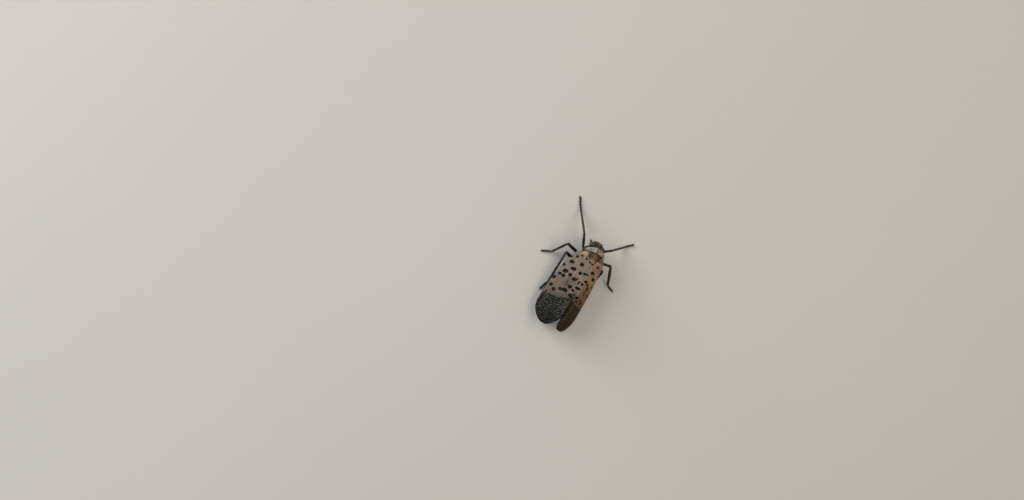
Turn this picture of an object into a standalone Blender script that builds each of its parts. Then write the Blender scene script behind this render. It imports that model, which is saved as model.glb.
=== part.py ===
"""A spotted lanternfly (Lycorma delicatula), life size, standing at rest with its wings folded like a roof.

Lengths are in millimetres until a mesh is made, which is in metres. The head points to -Y, +X is the
insect's own left, +Z is up, and the six feet stand on the plane z = 0.
"""

import math

import bmesh
import bpy
from mathutils import Matrix, Vector

MM = 0.001
GAP = 0.3  # between two nodes that meet face to face

# The folded wings make a roof. Its ridge is the inner margin of each wing, its eaves the outer margin.
# Each pair is a place along the body and the width or height there.
RIDGE_X = (
    (-8.15, 1.87), (-7.4, 1.32), (-6.95, 0.96), (-6.6, 0.58),
    (-6.3, 0.30), (-5.9, 0.18), (-5.4, 0.16), (13.0, 0.16),
)
RIDGE_Z = ((-8.15, 7.35), (-6.4, 7.8), (0.0, 7.85), (5.4, 7.75), (9.2, 7.25), (13.0, 5.2))
EAVES_X = (
    (-8.15, 3.95), (-6.4, 4.63), (-4.7, 5.05), (-2.1, 5.52),
    (0.0, 5.83), (4.9, 6.12), (9.2, 6.1), (13.0, 5.2),
)
EAVES_Z = (
    (-8.15, 5.85), (-6.4, 4.96), (-4.7, 4.43), (-2.1, 3.8),
    (0.0, 3.3), (4.9, 2.5), (9.2, 2.0), (13.0, 1.9),
)
RIDGE_HALF_GAP = GAP / 2 + 0.005
ROOF_BULGE = 0.075  # how far the wing bows outwards, as a share of its width

# The margins close round the tip from round_y on, towards tip_share of the way from ridge to eaves.
# The notch cuts the root back beside the shoulder scale. A hind wing starts narrow and widens.
TEGMEN = {
    "base_y": -8.15, "tip_y": 13.0, "round_y": 8.4, "tip_share": 0.44, "closing": 0.985,
    "inner": 0.0, "outer": 1.0, "root_width": 1.0, "widening": 0.0,
    "notch": 1.0, "notch_share": (0.5, 0.85), "thickness": 0.5, "rows": 22,
}
HINDWING = {
    "base_y": -5.75, "tip_y": 11.4, "round_y": 6.0, "tip_share": 0.42, "closing": 0.98,
    "inner": 0.03, "outer": 0.86, "root_width": 0.62, "widening": 1.8,
    "notch": 0.0, "notch_share": (0.0, 1.0), "thickness": 0.5, "rows": 16,
}
TIP_POWER = 2.2  # 2 is an elliptic tip, more is squarer
ROW_SPACING = 0.85  # under 1 spreads the rows more evenly, over 1 crowds them towards the tip
VEIN_HEIGHT = 0.14
VEIN_HALF_WIDTH = 0.024  # as a share of the wing's width
VEIN_FADE = 0.08  # as a share of the wing's length
CLAVUS_END = 0.62  # as a share of the wing's length
# Each vein: its place across the wing at the base, at the clavus end and at the tip, and where it fades.
TEGMEN_VEINS = (
    (0.14, 0.045, 0.045, 0.60),
    (0.30, 0.11, 0.11, 0.66),
    (0.44, 0.27, 0.25, 0.97),
    (0.57, 0.45, 0.43, 0.97),
    (0.70, 0.64, 0.62, 0.97),
    (0.85, 0.85, 0.82, 0.97),
)
HINDWING_VEINS = (
    (0.20, 0.16, 0.20, 0.95),
    (0.45, 0.40, 0.42, 0.95),
    (0.70, 0.68, 0.66, 0.95),
)
HINDWING_DEPTH = TEGMEN["thickness"] + GAP + VEIN_HEIGHT
BODY_DEPTH = HINDWING_DEPTH + HINDWING["thickness"] + GAP

# The collar behind the head. Half widths and heights are those of its arch at the front and the rear margin.
PRONOTUM = {
    "front_y": -10.75, "rear_y": -9.1, "centre_z": 4.6, "crest": 0.05,
    "outside": ((2.85, 2.72), (3.2, 2.88)), "inside": ((2.26, 2.15), (2.25, 2.05)),
    "reach": math.radians(80),  # down each flank, from the middle of the back
    "sweep": 1.3,  # how far back the front margin runs towards the flanks
    "rear_sweep": 0.15,
    "squareness": 0.55,  # 1 is a round arch, less is flatter on top
}
# The triangular shield between the wing roots.
MESONOTUM = {
    "front_y": PRONOTUM["rear_y"] + GAP + 0.1, "apex_y": -6.4, "end": 0.93, "half_width": 1.86,
    "front_z": 7.3, "apex_z": 7.68, "underside_z": 6.68, "underside_drop": 0.25, "drop": 0.4, "keel": 0.07,
}
TEGULA = {
    "centre": (2.4, -8.0, 6.85), "slope": math.radians(34),
    "half_width": 0.68, "half_length": 0.6, "half_thickness": 0.28,
}

# Half width, lowest and highest point of the trunk along the body.
THORAX_STATIONS = (-9.45, -9.0, -8.45, -7.7, -6.9, -6.0, -5.1, -4.4, -3.95)
THORAX_HALF_WIDTH = ((-9.45, 1.55), (-8.6, 2.1), (-7.2, 2.5), (-5.6, 2.55), (-4.5, 2.5), (-3.95, 2.3))
THORAX_LOW_Z = ((-9.45, 3.8), (-8.6, 3.05), (-7.2, 2.5), (-5.6, 2.25), (-3.95, 2.35))
THORAX_HIGH_Z = ((-9.45, 6.3), (-8.6, 6.4), (-7.2, 6.35), (-5.6, 6.2), (-3.95, 5.9))
ABDOMEN_FRONT_Y = THORAX_STATIONS[-1] + GAP
ABDOMEN_TIP_Y = 8.3
ABDOMEN_HALF_WIDTH = ((-3.65, 2.3), (-1.5, 2.75), (2.0, 2.75), (5.0, 2.1), (7.2, 1.25), (8.3, 0.6))
ABDOMEN_LOW_Z = ((-3.65, 2.35), (-1.5, 1.95), (2.0, 1.85), (5.0, 2.0), (8.3, 2.6))
ABDOMEN_HIGH_Z = ((-3.65, 5.85), (-1.5, 5.95), (2.0, 5.85), (5.0, 5.2), (7.2, 4.2), (8.3, 3.5))
ABDOMEN_SEGMENTS = 8
SEGMENT_GROOVE = 0.06  # how far each joint between two segments is pinched in, as a share of the radius

# Rings of the head from the mouth up: height, middle y, half width, half depth.
HEAD_RINGS = (
    (3.02, -10.78, 0.32, 0.30),
    (3.40, -10.86, 0.50, 0.50),
    (3.85, -10.95, 0.80, 0.74),
    (4.40, -10.98, 1.08, 0.92),
    (5.00, -10.97, 1.24, 1.03),
    (5.55, -10.93, 1.33, 1.10),
    (5.95, -10.90, 1.36, 1.14),
    (6.28, -11.10, 1.12, 0.92),
    (6.55, -11.52, 0.95, 0.44),
    (6.72, -11.50, 0.72, 0.28),
)
FACE_KEEL = 0.07
EYE = {
    "base_x": max(ring[2] for ring in HEAD_RINGS) + GAP, "y": -10.75, "z": 5.85,
    "bulge": 0.74, "half_depth": 0.66, "half_height": 0.80,
}
ANTENNA = {"root": (1.5, -11.15, 4.45), "direction": (0.80, -0.50, -0.33)}
# Distance along the antenna and radius there: scape, neck, round pedicel, then the bristle.
ANTENNA_PROFILE = (
    (0.0, 0.26), (0.18, 0.27), (0.30, 0.25), (0.42, 0.36), (0.62, 0.44), (0.84, 0.40),
    (1.00, 0.26), (1.12, 0.25), (1.60, 0.20), (2.15, 0.08),
)
# The beak: y, z and radius from the mouth back between the coxae.
ROSTRUM_PATH = (
    (-10.8, 2.72, 0.27), (-10.77, 2.55, 0.27), (-10.55, 2.32, 0.27), (-10.0, 2.28, 0.26),
    (-8.6, 2.28, 0.26), (-7.0, 1.86, 0.26), (-5.4, 1.68, 0.24), (-3.2, 1.6, 0.16),
)

# Where each coxa leaves the thorax (y, and degrees from straight down), then the knee, ankle and toe.
LEGS = {
    "fore_left": {
        "root": (-8.45, 34), "knee": (4.3, -12.4, 4.3), "ankle": (6.6, -17.5, 0.55), "toe": (8.1, -20.0),
    },
    "fore_right": {
        "root": (-8.45, -34), "knee": (-5.0, -11.7, 4.4), "ankle": (-9.5, -13.9, 0.55), "toe": (-11.9, -15.8),
    },
    "mid_left": {
        "root": (-6.9, 38), "knee": (7.1, -8.0, 4.5), "ankle": (8.2, -4.3, 0.55), "toe": (10.6, -3.3),
    },
    "mid_right": {
        "root": (-6.9, -38), "knee": (-6.9, -8.0, 4.5), "ankle": (-10.7, -3.4, 0.55), "toe": (-12.8, -2.6),
    },
    "hind_left": {
        "root": (-5.1, 40), "knee": (6.0, -5.9, 3.7), "ankle": (5.1, 2.9, 0.55), "toe": (6.1, 5.4),
    },
    "hind_right": {
        "root": (-5.1, -40), "knee": (-5.9, -5.9, 3.7), "ankle": (-5.2, 2.9, 0.55), "toe": (-6.3, 5.4),
    },
}
LEG_SIDES = 10
COXA_LENGTH = 0.9
KNEE_ROUNDING = 0.85
ANKLE_ROUNDING = 0.5
# Radius across the leg's plane and in it, from the body outwards.
COXA_RADII = ((0.52, 0.52), (0.46, 0.46))
FEMUR_RADII = ((0.36, 0.44), (0.36, 0.50), (0.35, 0.48), (0.32, 0.40))
KNEE_RADII = ((0.31, 0.40),)
TIBIA_RADII = {
    "fore": ((0.30, 0.34), (0.30, 0.44), (0.28, 0.46), (0.26, 0.38), (0.25, 0.29)),
    "mid": ((0.30, 0.34), (0.30, 0.42), (0.28, 0.42), (0.26, 0.36), (0.25, 0.29)),
    "hind": ((0.30, 0.36), (0.29, 0.38), (0.28, 0.38), (0.29, 0.36), (0.32, 0.36)),
}
ANKLE_RADII = ((0.26, 0.32),)
FOOT_RADIUS = 0.27
FOOT_AXIS_Z = 0.24
# Share of the foot's length and share of its radius: three tarsal segments, each swelling towards its end.
FOOT_PROFILE = (
    (0.0, 0.85), (0.14, 0.95), (0.32, 1.1), (0.37, 0.8), (0.50, 0.95),
    (0.60, 1.08), (0.65, 0.8), (0.82, 0.98), (1.0, 1.0),
)
CLAW = {"length": 0.5, "radius": 0.19, "root_spread": 0.1, "tip_spread": 0.32, "sunk": 0.15, "tip_z": 0.1}
# The row of spines along a hind tibia, from the middle of the shin outwards and back.
SPINE = {"length": 0.95, "radius": 0.2, "lean": 0.7, "places": (0.22, 0.38, 0.54, 0.70, 0.86)}

COLOURS = {
    "grey_tan_wing": ((0.42, 0.36, 0.31), 0.6),
    "red_hindwing": ((0.55, 0.05, 0.04), 0.5),
    "grey_brown_cuticle": ((0.30, 0.25, 0.20), 0.6),
    "black_cuticle": ((0.03, 0.03, 0.03), 0.45),
    "yellow_banded_abdomen": ((0.62, 0.47, 0.10), 0.5),
    "eye": ((0.10, 0.06, 0.05), 0.25),
    "orange_antenna": ((0.75, 0.18, 0.03), 0.4),
    "cream_shoulder": ((0.60, 0.50, 0.38), 0.6),
}


def clear_scene():
    for obj in list(bpy.data.objects):
        bpy.data.objects.remove(obj)


def material(name):
    found = bpy.data.materials.get(name)
    if found:
        return found
    colour, roughness = COLOURS[name]
    made = bpy.data.materials.new(name)
    made.use_nodes = True
    shader = made.node_tree.nodes["Principled BSDF"]
    shader.inputs["Base Color"].default_value = (*colour, 1.0)
    shader.inputs["Roughness"].default_value = roughness
    shader.inputs["Metallic"].default_value = 0.0
    return made


def smooth(stations, at):
    """The value at a place on the smooth curve through (place, value) stations."""
    if at <= stations[0][0]:
        return stations[0][1]
    if at >= stations[-1][0]:
        return stations[-1][1]
    k = max(i for i in range(len(stations) - 1) if stations[i][0] <= at)
    (x0, v0), (x1, v1) = stations[k], stations[k + 1]

    def slope(i):
        low, high = max(i - 1, 0), min(i + 1, len(stations) - 1)
        return (stations[high][1] - stations[low][1]) / (stations[high][0] - stations[low][0])

    step = x1 - x0
    t = (at - x0) / step
    return (
        v0 * (2 * t**3 - 3 * t**2 + 1)
        + slope(k) * step * (t**3 - 2 * t**2 + t)
        + v1 * (3 * t**2 - 2 * t**3)
        + slope(k + 1) * step * (t**3 - t**2)
    )


def mix(pair, share):
    return pair[0] + (pair[1] - pair[0]) * share


def mesh_object(name, points, faces, slot):
    """A named object from points in millimetres, with its faces turned outwards."""
    mesh = bpy.data.meshes.new(name)
    mesh.from_pydata([Vector(p) * MM for p in points], [], faces)
    work = bmesh.new()
    work.from_mesh(mesh)
    bmesh.ops.recalc_face_normals(work, faces=work.faces)
    work.to_mesh(mesh)
    work.free()
    mesh.materials.append(material(slot))
    mesh.shade_smooth()
    mesh.set_sharp_from_angle(angle=math.radians(40))
    obj = bpy.data.objects.new(name, mesh)
    bpy.context.scene.collection.objects.link(obj)
    return obj


def loft(name, rings, slot):
    """A closed skin over rings of equally many points, with flat ends."""
    sides = len(rings[0])
    points = [p for ring in rings for p in ring]
    faces = [tuple(range(sides)), tuple(range(len(points) - sides, len(points)))]
    for k in range(len(rings) - 1):
        for i in range(sides):
            a, b = k * sides + i, k * sides + (i + 1) % sides
            faces.append((a, b, b + sides, a + sides))
    return mesh_object(name, points, faces, slot)


def plate(name, outside, inside, rows, slot):
    """A bent plate from two grids of points, split into the same triangles on both faces."""
    columns, half = len(outside) // rows, len(outside)
    faces = []
    for k in range(rows - 1):
        for i in range(columns - 1):
            a = k * columns + i
            b, c, d = a + 1, a + columns + 1, a + columns
            faces += [(a, b, c), (a, c, d), (a + half, c + half, b + half), (a + half, d + half, c + half)]
    rim = list(range(columns - 1))
    rim += [k * columns + columns - 1 for k in range(rows - 1)]
    rim += [rows * columns - 1 - i for i in range(columns - 1)]
    rim += [k * columns for k in range(rows - 1, 0, -1)]
    for a, b in zip(rim, rim[1:] + rim[:1]):
        faces += [(a, a + half, b), (b, a + half, b + half)]
    return mesh_object(name, outside + inside, faces, slot)


def fuse(obj, pieces):
    """Joins closed pieces to obj in one Boolean union and keeps the largest closed surface."""
    group = bpy.data.collections.new(obj.name + "_pieces")
    bpy.context.scene.collection.children.link(group)
    for piece in pieces:
        bpy.context.scene.collection.objects.unlink(piece)
        group.objects.link(piece)
    union = obj.modifiers.new("union", "BOOLEAN")
    union.operation = "UNION"
    union.operand_type = "COLLECTION"
    union.collection = group
    union.solver = "EXACT"
    bpy.context.view_layer.update()
    graph = bpy.context.evaluated_depsgraph_get()
    joined = bpy.data.meshes.new_from_object(obj.evaluated_get(graph))
    obj.modifiers.clear()
    obj.data = joined
    for piece in pieces:
        bpy.data.objects.remove(piece)
    bpy.data.collections.remove(group)
    keep_largest_surface(obj)


def keep_largest_surface(obj):
    work = bmesh.new()
    work.from_mesh(obj.data)
    left = set(work.faces)
    surfaces = []
    while left:
        todo, found = [left.pop()], []
        while todo:
            face = todo.pop()
            found.append(face)
            near = {other for edge in face.edges for other in edge.link_faces} & left
            left -= near
            todo += near
        surfaces.append(found)
    surfaces.sort(key=lambda faces: sum(face.calc_area() for face in faces))
    for faces in surfaces[:-1]:
        bmesh.ops.delete(work, geom=faces, context="FACES")
    work.to_mesh(obj.data)
    work.free()


def roof_point(side, y, share, depth):
    """A point on a folded wing: share of the way from ridge to eaves, depth below the upper face."""
    ridge = Vector((smooth(RIDGE_X, y), smooth(RIDGE_Z, y)))
    eaves = Vector((smooth(EAVES_X, y), smooth(EAVES_Z, y)))
    chord = eaves - ridge
    bow = Vector((-chord.y, chord.x)) * ROOF_BULGE * 4
    place = ridge + chord * share + bow * share * (1 - share)
    along = chord + bow * (1 - 2 * share)
    place += Vector((along.y, -along.x)).normalized() * depth
    return Vector((side * max(place.x, RIDGE_HALF_GAP), y, place.y))


def roof_height(y, x, depth):
    """How high a layer that lies so far below the wing's upper face is at a place."""
    low, high = 0.0, 1.0
    for _ in range(16):
        middle = (low + high) / 2
        if roof_point(1, y, middle, depth).x < abs(x):
            low = middle
        else:
            high = middle
    return roof_point(1, y, low, depth).z


def vein_share(vein, along):
    """Where a vein lies across the wing, for a place along it from 0 at the base to 1 at the tip."""
    base, middle, tip, _ = vein
    if along < CLAVUS_END:
        return mix((base, middle), along / CLAVUS_END)
    return mix((middle, tip), (along - CLAVUS_END) / (1 - CLAVUS_END))


def wing_columns(veins, along):
    """Places across the wing with the height of the veins there, from the inner margin to the outer."""
    columns = [(0.0, 0.0)]
    for vein in veins:
        at = vein_share(vein, along)
        height = VEIN_HEIGHT * min(1.0, max(0.0, (vein[3] - along) / VEIN_FADE))
        half = min(VEIN_HALF_WIDTH, 0.45 * at)
        columns += [(at - half, 0.0), (at, height), (at + half, 0.0)]
    return columns + [(1.0, 0.0)]


def wing_place(shape, along, across):
    """The y of a place on a wing and its share of the way from ridge to eaves."""
    start, end = shape["notch_share"]
    t = min(1.0, max(0.0, (end - across) / (end - start)))
    base = shape["base_y"] + shape["notch"] * t * t * (3 - 2 * t)
    y = mix((base, shape["tip_y"]), along)
    closing = max(0.0, (y - shape["round_y"]) / (shape["tip_y"] - shape["round_y"])) * shape["closing"]
    spread = (1 - closing**TIP_POWER) ** 0.5
    middle = shape["tip_share"]
    outer = shape["outer"] * min(1.0, shape["root_width"] + along * shape["widening"])
    return y, mix((mix((middle, shape["inner"]), spread), mix((middle, outer), spread)), across)


def build_wing(name, side, shape, veins, depth, slot):
    """A thin folded wing, its veins raised in the upper face and its inner face smooth."""
    upper, lower = [], []
    for k in range(shape["rows"]):
        along = math.sin(math.pi / 2 * k / (shape["rows"] - 1)) ** ROW_SPACING
        for across, height in wing_columns(veins, along):
            y, share = wing_place(shape, along, across)
            upper.append(roof_point(side, y, share, depth - height))
            lower.append(roof_point(side, y, share, depth + shape["thickness"]))
    return plate(name, upper, lower, shape["rows"], slot)


def trunk_ring(y, half_width, low, high, sides=20):
    """An oval ring round the trunk, pressed down where it would come too near the wings above."""
    ring = []
    for i in range(sides):
        a = 2 * math.pi * i / sides
        x, z = half_width * math.sin(a), mix((low, high), (1 + math.cos(a)) / 2)
        if y > TEGMEN["base_y"]:
            z = min(z, roof_height(y, x, BODY_DEPTH))
        ring.append(Vector((x, y, z)))
    return ring


def build_thorax():
    rings = [
        trunk_ring(y, smooth(THORAX_HALF_WIDTH, y), smooth(THORAX_LOW_Z, y), smooth(THORAX_HIGH_Z, y))
        for y in THORAX_STATIONS
    ]
    return loft("thorax", rings, "black_cuticle")


def thorax_surface(y, degrees):
    """Point and outward direction on the thorax, so many degrees from straight down towards its left."""
    def place(at, angle):
        low, high = smooth(THORAX_LOW_Z, at), smooth(THORAX_HIGH_Z, at)
        x = smooth(THORAX_HALF_WIDTH, at) * math.sin(angle)
        return Vector((x, at, mix((low, high), (1 - math.cos(angle)) / 2)))

    angle, step = math.radians(degrees), 0.1
    back = place(y + step, angle) - place(y - step, angle)
    around = place(y, angle + step) - place(y, angle - step)
    return place(y, angle), back.cross(around).normalized()


def build_abdomen():
    """Eight segments, each pinched in where it meets the one before."""
    stations = []
    length = ABDOMEN_TIP_Y - ABDOMEN_FRONT_Y
    for k in range(ABDOMEN_SEGMENTS):
        for part, groove in ((0.0, SEGMENT_GROOVE if k else 0.0), (0.18, 0.0), (0.75, 0.0)):
            stations.append((ABDOMEN_FRONT_Y + length * (k + part) / ABDOMEN_SEGMENTS, groove))
    stations.append((ABDOMEN_TIP_Y, 0.0))
    rings = []
    for y, groove in stations:
        low, high = smooth(ABDOMEN_LOW_Z, y), smooth(ABDOMEN_HIGH_Z, y)
        pinch = groove * (high - low) / 2
        rings.append(trunk_ring(y, smooth(ABDOMEN_HALF_WIDTH, y) * (1 - groove), low + pinch, high - pinch))
    return loft("abdomen", rings, "yellow_banded_abdomen")


def build_head():
    """The head stands upright: mouth at the bottom, broad face to the front, two keels down the face."""
    rings, sides = [], 24
    for z, y, half_width, half_depth in HEAD_RINGS:
        ring = []
        for i in range(sides):
            a = 2 * math.pi * i / sides
            depth = half_depth + (FACE_KEEL if i in (2, sides - 2) else 0.0)
            forward = math.copysign(abs(math.cos(a)) ** 0.8, math.cos(a))
            ring.append(Vector((half_width * math.sin(a), y - depth * forward, z)))
        rings.append(ring)
    return loft("head", rings, "black_cuticle")


def build_eye(name, side):
    """A domed eye on the side of the head."""
    rings, steps, sides = [], 6, 14
    for k in range(steps):
        a = math.pi / 2 * 0.9 * k / (steps - 1)
        x = side * (EYE["base_x"] + EYE["bulge"] * math.sin(a))
        ring = []
        for i in range(sides):
            b = 2 * math.pi * i / sides
            y = EYE["y"] + EYE["half_depth"] * math.cos(a) * math.sin(b)
            ring.append(Vector((x, y, EYE["z"] + EYE["half_height"] * math.cos(a) * math.cos(b))))
        rings.append(ring)
    return loft(name, rings, "eye")


def tube_rings(points, radii, across, sides, first=None, last=None):
    """Rings round a path. Each radius is (along the given direction, at right angles to it).

    The first and the last ring face the directions first and last where these are given.
    """
    rings, end = [], len(points) - 1
    for k, point in enumerate(points):
        before, after = points[max(k - 1, 0)], points[min(k + 1, end)]
        along = ((point - before).normalized() + (after - point).normalized()).normalized()
        if k == 0 and first:
            along = first
        if k == end and last:
            along = last
        sideways = (across - along * across.dot(along)).normalized()
        upright = along.cross(sideways)
        wide, tall = radii[k]
        angles = [2 * math.pi * i / sides for i in range(sides)]
        rings.append([point + sideways * wide * math.cos(a) + upright * tall * math.sin(a) for a in angles])
    return rings


def build_antenna(name, side):
    """Short scape, round pedicel, then a bristle: both below the eye."""
    x, y, z = ANTENNA["root"]
    along_x, along_y, along_z = ANTENNA["direction"]
    along = Vector((side * along_x, along_y, along_z)).normalized()
    points = [Vector((side * x, y, z)) + along * distance for distance, _ in ANTENNA_PROFILE]
    radii = [(radius, radius) for _, radius in ANTENNA_PROFILE]
    return loft(name, tube_rings(points, radii, Vector((0, 0, 1)), 10), "orange_antenna")


def build_rostrum():
    points = [Vector((0, y, z)) for y, z, _ in ROSTRUM_PATH]
    radii = [(radius, radius) for _, _, radius in ROSTRUM_PATH]
    return loft("rostrum", tube_rings(points, radii, Vector((1, 0, 0)), 8), "black_cuticle")


def build_pronotum():
    """The collar behind the head: an arch over the back, longest in the middle, close over the thorax."""
    around, along, square = 18, 5, PRONOTUM["squareness"]
    outside, inside = [], []
    for i in range(around + 1):
        a = PRONOTUM["reach"] * (2 * i / around - 1)
        front = PRONOTUM["front_y"] + PRONOTUM["sweep"] * abs(math.sin(a)) ** 1.2
        rear = PRONOTUM["rear_y"] + PRONOTUM["rear_sweep"] * math.sin(a) ** 2
        crest = PRONOTUM["crest"] * math.exp(-((math.degrees(a) / 5) ** 2))
        for k in range(along + 1):
            share = k / along
            for points, (at_front, at_rear), rise in (
                (outside, PRONOTUM["outside"], crest), (inside, PRONOTUM["inside"], 0.0),
            ):
                half_width, height = (mix(pair, share) for pair in zip(at_front, at_rear))
                x = math.copysign(abs(math.sin(a)) ** square, a) * half_width
                z = PRONOTUM["centre_z"] + (height + rise) * math.cos(a) ** square
                points.append(Vector((x, mix((front, rear), share), z)))
    return plate("pronotum", outside, inside, around + 1, "grey_brown_cuticle")


def build_mesonotum():
    """The triangular shield between the wing roots, arched, with three keels along it."""
    shape, rings, steps = MESONOTUM, [], 6
    for k in range(steps + 1):
        share = k / steps * shape["end"]
        y = mix((shape["front_y"], shape["apex_y"]), share)
        half_width = shape["half_width"] * (1 - share)
        middle_z = mix((shape["front_z"], shape["apex_z"]), math.sin(math.pi / 2 * k / steps))
        ring = []
        for i in range(13):
            x = half_width * (1 - i / 6)
            keel = shape["keel"] if i in (3, 6, 9) else 0.0
            ring.append(Vector((x, y, middle_z - shape["drop"] * (x / shape["half_width"]) ** 2 + keel)))
        low = shape["underside_z"]
        edge = low - shape["underside_drop"] * (1 - share)
        ring += [Vector((-half_width, y, edge)), Vector((0, y, low)), Vector((half_width, y, edge))]
        rings.append(ring)
    return loft("mesonotum", rings, "grey_brown_cuticle")


def build_tegula(name, side):
    """The domed shoulder scale that fills the notch in the wing root, at the slope of the roof."""
    x, y, z = TEGULA["centre"]
    out = Vector((side * math.cos(TEGULA["slope"]), 0, -math.sin(TEGULA["slope"])))
    up = Vector((side * math.sin(TEGULA["slope"]), 0, math.cos(TEGULA["slope"])))
    rings, steps, sides = [], 6, 12
    for k in range(steps + 1):
        a = math.pi * (0.08 + 0.84 * k / steps)
        middle = Vector((side * x, y - math.cos(a) * TEGULA["half_length"], z))
        ring = []
        for i in range(sides):
            b = 2 * math.pi * i / sides
            reach = out * math.cos(b) * TEGULA["half_width"] + up * math.sin(b) * TEGULA["half_thickness"]
            ring.append(middle + reach * math.sin(a))
        rings.append(ring)
    return loft(name, rings, "cream_shoulder")


def thorn(base, tip, radius):
    """A tapered spine or claw of five sides, to be fused to its leg."""
    across = (tip - base).normalized().orthogonal()
    radii = [(radius, radius), (radius * 0.12, radius * 0.12)]
    return loft("thorn", tube_rings([base, tip], radii, across, 5), "black_cuticle")


def bend(before, corner, after, rounding):
    """The middle of a rounded corner, its direction there, and the points where it starts and ends."""
    start = corner + (before - corner).normalized() * rounding
    end = corner + (after - corner).normalized() * rounding
    return (start + corner * 2 + end) / 4, (end - start).normalized(), start, end


def build_leg(name):
    """Coxa with femur, tibia, and foot: three nodes parted by thin cuts at the knee and at the ankle."""
    size, pair = LEGS[name], name.split("_")[0]
    root, outward = thorax_surface(*size["root"])
    root += outward * GAP
    hip = root + outward * COXA_LENGTH
    knee, ankle = Vector(size["knee"]), Vector(size["ankle"])
    toe = Vector((*size["toe"], FOOT_AXIS_Z))
    across = (knee - hip).cross(ankle - knee).normalized()
    knee_cut, knee_way, knee_start, knee_end = bend(hip, knee, ankle, KNEE_ROUNDING)
    level_toe = Vector((toe.x, toe.y, ankle.z))
    ankle_cut, ankle_way, ankle_start, ankle_end = bend(knee, ankle, level_toe, ANKLE_ROUNDING)

    steps = len(FEMUR_RADII)
    femur = [root, root.lerp(hip, 0.6)] + [hip.lerp(knee_start, (k + 1) / steps) for k in range(steps)]
    femur.append(knee_cut - knee_way * GAP / 2)
    radii = COXA_RADII + FEMUR_RADII + KNEE_RADII
    loft(f"leg_{name}_femur", tube_rings(femur, radii, across, LEG_SIDES, outward, knee_way), "black_cuticle")

    steps = len(TIBIA_RADII[pair]) - 1
    tibia = [knee_cut + knee_way * GAP / 2]
    tibia += [knee_end.lerp(ankle_start, k / steps) for k in range(steps + 1)]
    tibia.append(ankle_cut - ankle_way * GAP / 2)
    radii = KNEE_RADII + TIBIA_RADII[pair] + ANKLE_RADII
    rings = tube_rings(tibia, radii, across, LEG_SIDES, knee_way, ankle_way)
    shin = loft(f"leg_{name}_tibia", rings, "black_cuticle")
    if pair == "hind":
        out = Vector((math.copysign(1.0, knee.x), 0, 0)) + (ankle - knee).normalized() * SPINE["lean"]
        bases = [knee_end.lerp(ankle_start, share) for share in SPINE["places"]]
        reach = out.normalized() * SPINE["length"]
        fuse(shin, [thorn(base, base + reach, SPINE["radius"]) for base in bases])

    build_foot(f"leg_{name}_tarsus", ankle_cut + ankle_way * GAP / 2, ankle_way, ankle_end, toe)


def build_foot(name, start, start_way, ankle_end, toe):
    """Three tarsal segments laid on the floor, with two claws, the underside pressed flat at the floor."""
    path, radii = [start], list(ANKLE_RADII)
    for share, swell in FOOT_PROFILE:
        point = ankle_end.lerp(toe, share)
        point.z = FOOT_AXIS_Z + (ankle_end.z - FOOT_AXIS_Z) * max(0.0, 1 - share / 0.3) ** 1.5
        path.append(point)
        radii.append((FOOT_RADIUS * swell, FOOT_RADIUS * swell))
    ahead = Vector((toe.x - ankle_end.x, toe.y - ankle_end.y, 0)).normalized()
    sideways = Vector((-ahead.y, ahead.x, 0))
    foot = loft(name, tube_rings(path, radii, sideways, LEG_SIDES, start_way), "black_cuticle")
    claws = []
    for sign in (-1, 1):
        base = toe - ahead * CLAW["sunk"] + sideways * sign * CLAW["root_spread"]
        tip = toe + ahead * CLAW["length"] + sideways * sign * CLAW["tip_spread"]
        tip.z = CLAW["tip_z"]
        claws.append(thorn(base, tip, CLAW["radius"]))
    fuse(foot, claws)
    for vertex in foot.data.vertices:
        vertex.co.z = max(vertex.co.z, 0.0)


def centre_on_floor():
    """Moves the whole insect level so that the origin is under the middle of its box."""
    bpy.context.view_layer.update()
    corners = [obj.matrix_world @ Vector(c) for obj in bpy.data.objects for c in obj.bound_box]
    middle_x, middle_y = ((min(c[k] for c in corners) + max(c[k] for c in corners)) / 2 for k in (0, 1))
    for obj in bpy.data.objects:
        obj.data.transform(Matrix.Translation((-middle_x, -middle_y, 0)))


def main():
    clear_scene()
    build_head()
    build_rostrum()
    build_pronotum()
    build_mesonotum()
    build_thorax()
    build_abdomen()
    for side, word in ((1, "left"), (-1, "right")):
        build_eye(f"eye_{word}", side)
        build_antenna(f"antenna_{word}", side)
        build_tegula(f"tegula_{word}", side)
        build_wing(f"tegmen_{word}", side, TEGMEN, TEGMEN_VEINS, 0.0, "grey_tan_wing")
        build_wing(f"hindwing_{word}", side, HINDWING, HINDWING_VEINS, HINDWING_DEPTH, "red_hindwing")
    for name in LEGS:
        build_leg(name)
    centre_on_floor()


main()
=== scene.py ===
import math
import random

import bmesh
import bpy
import numpy as np
from mathutils import Matrix, Vector, noise

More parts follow.
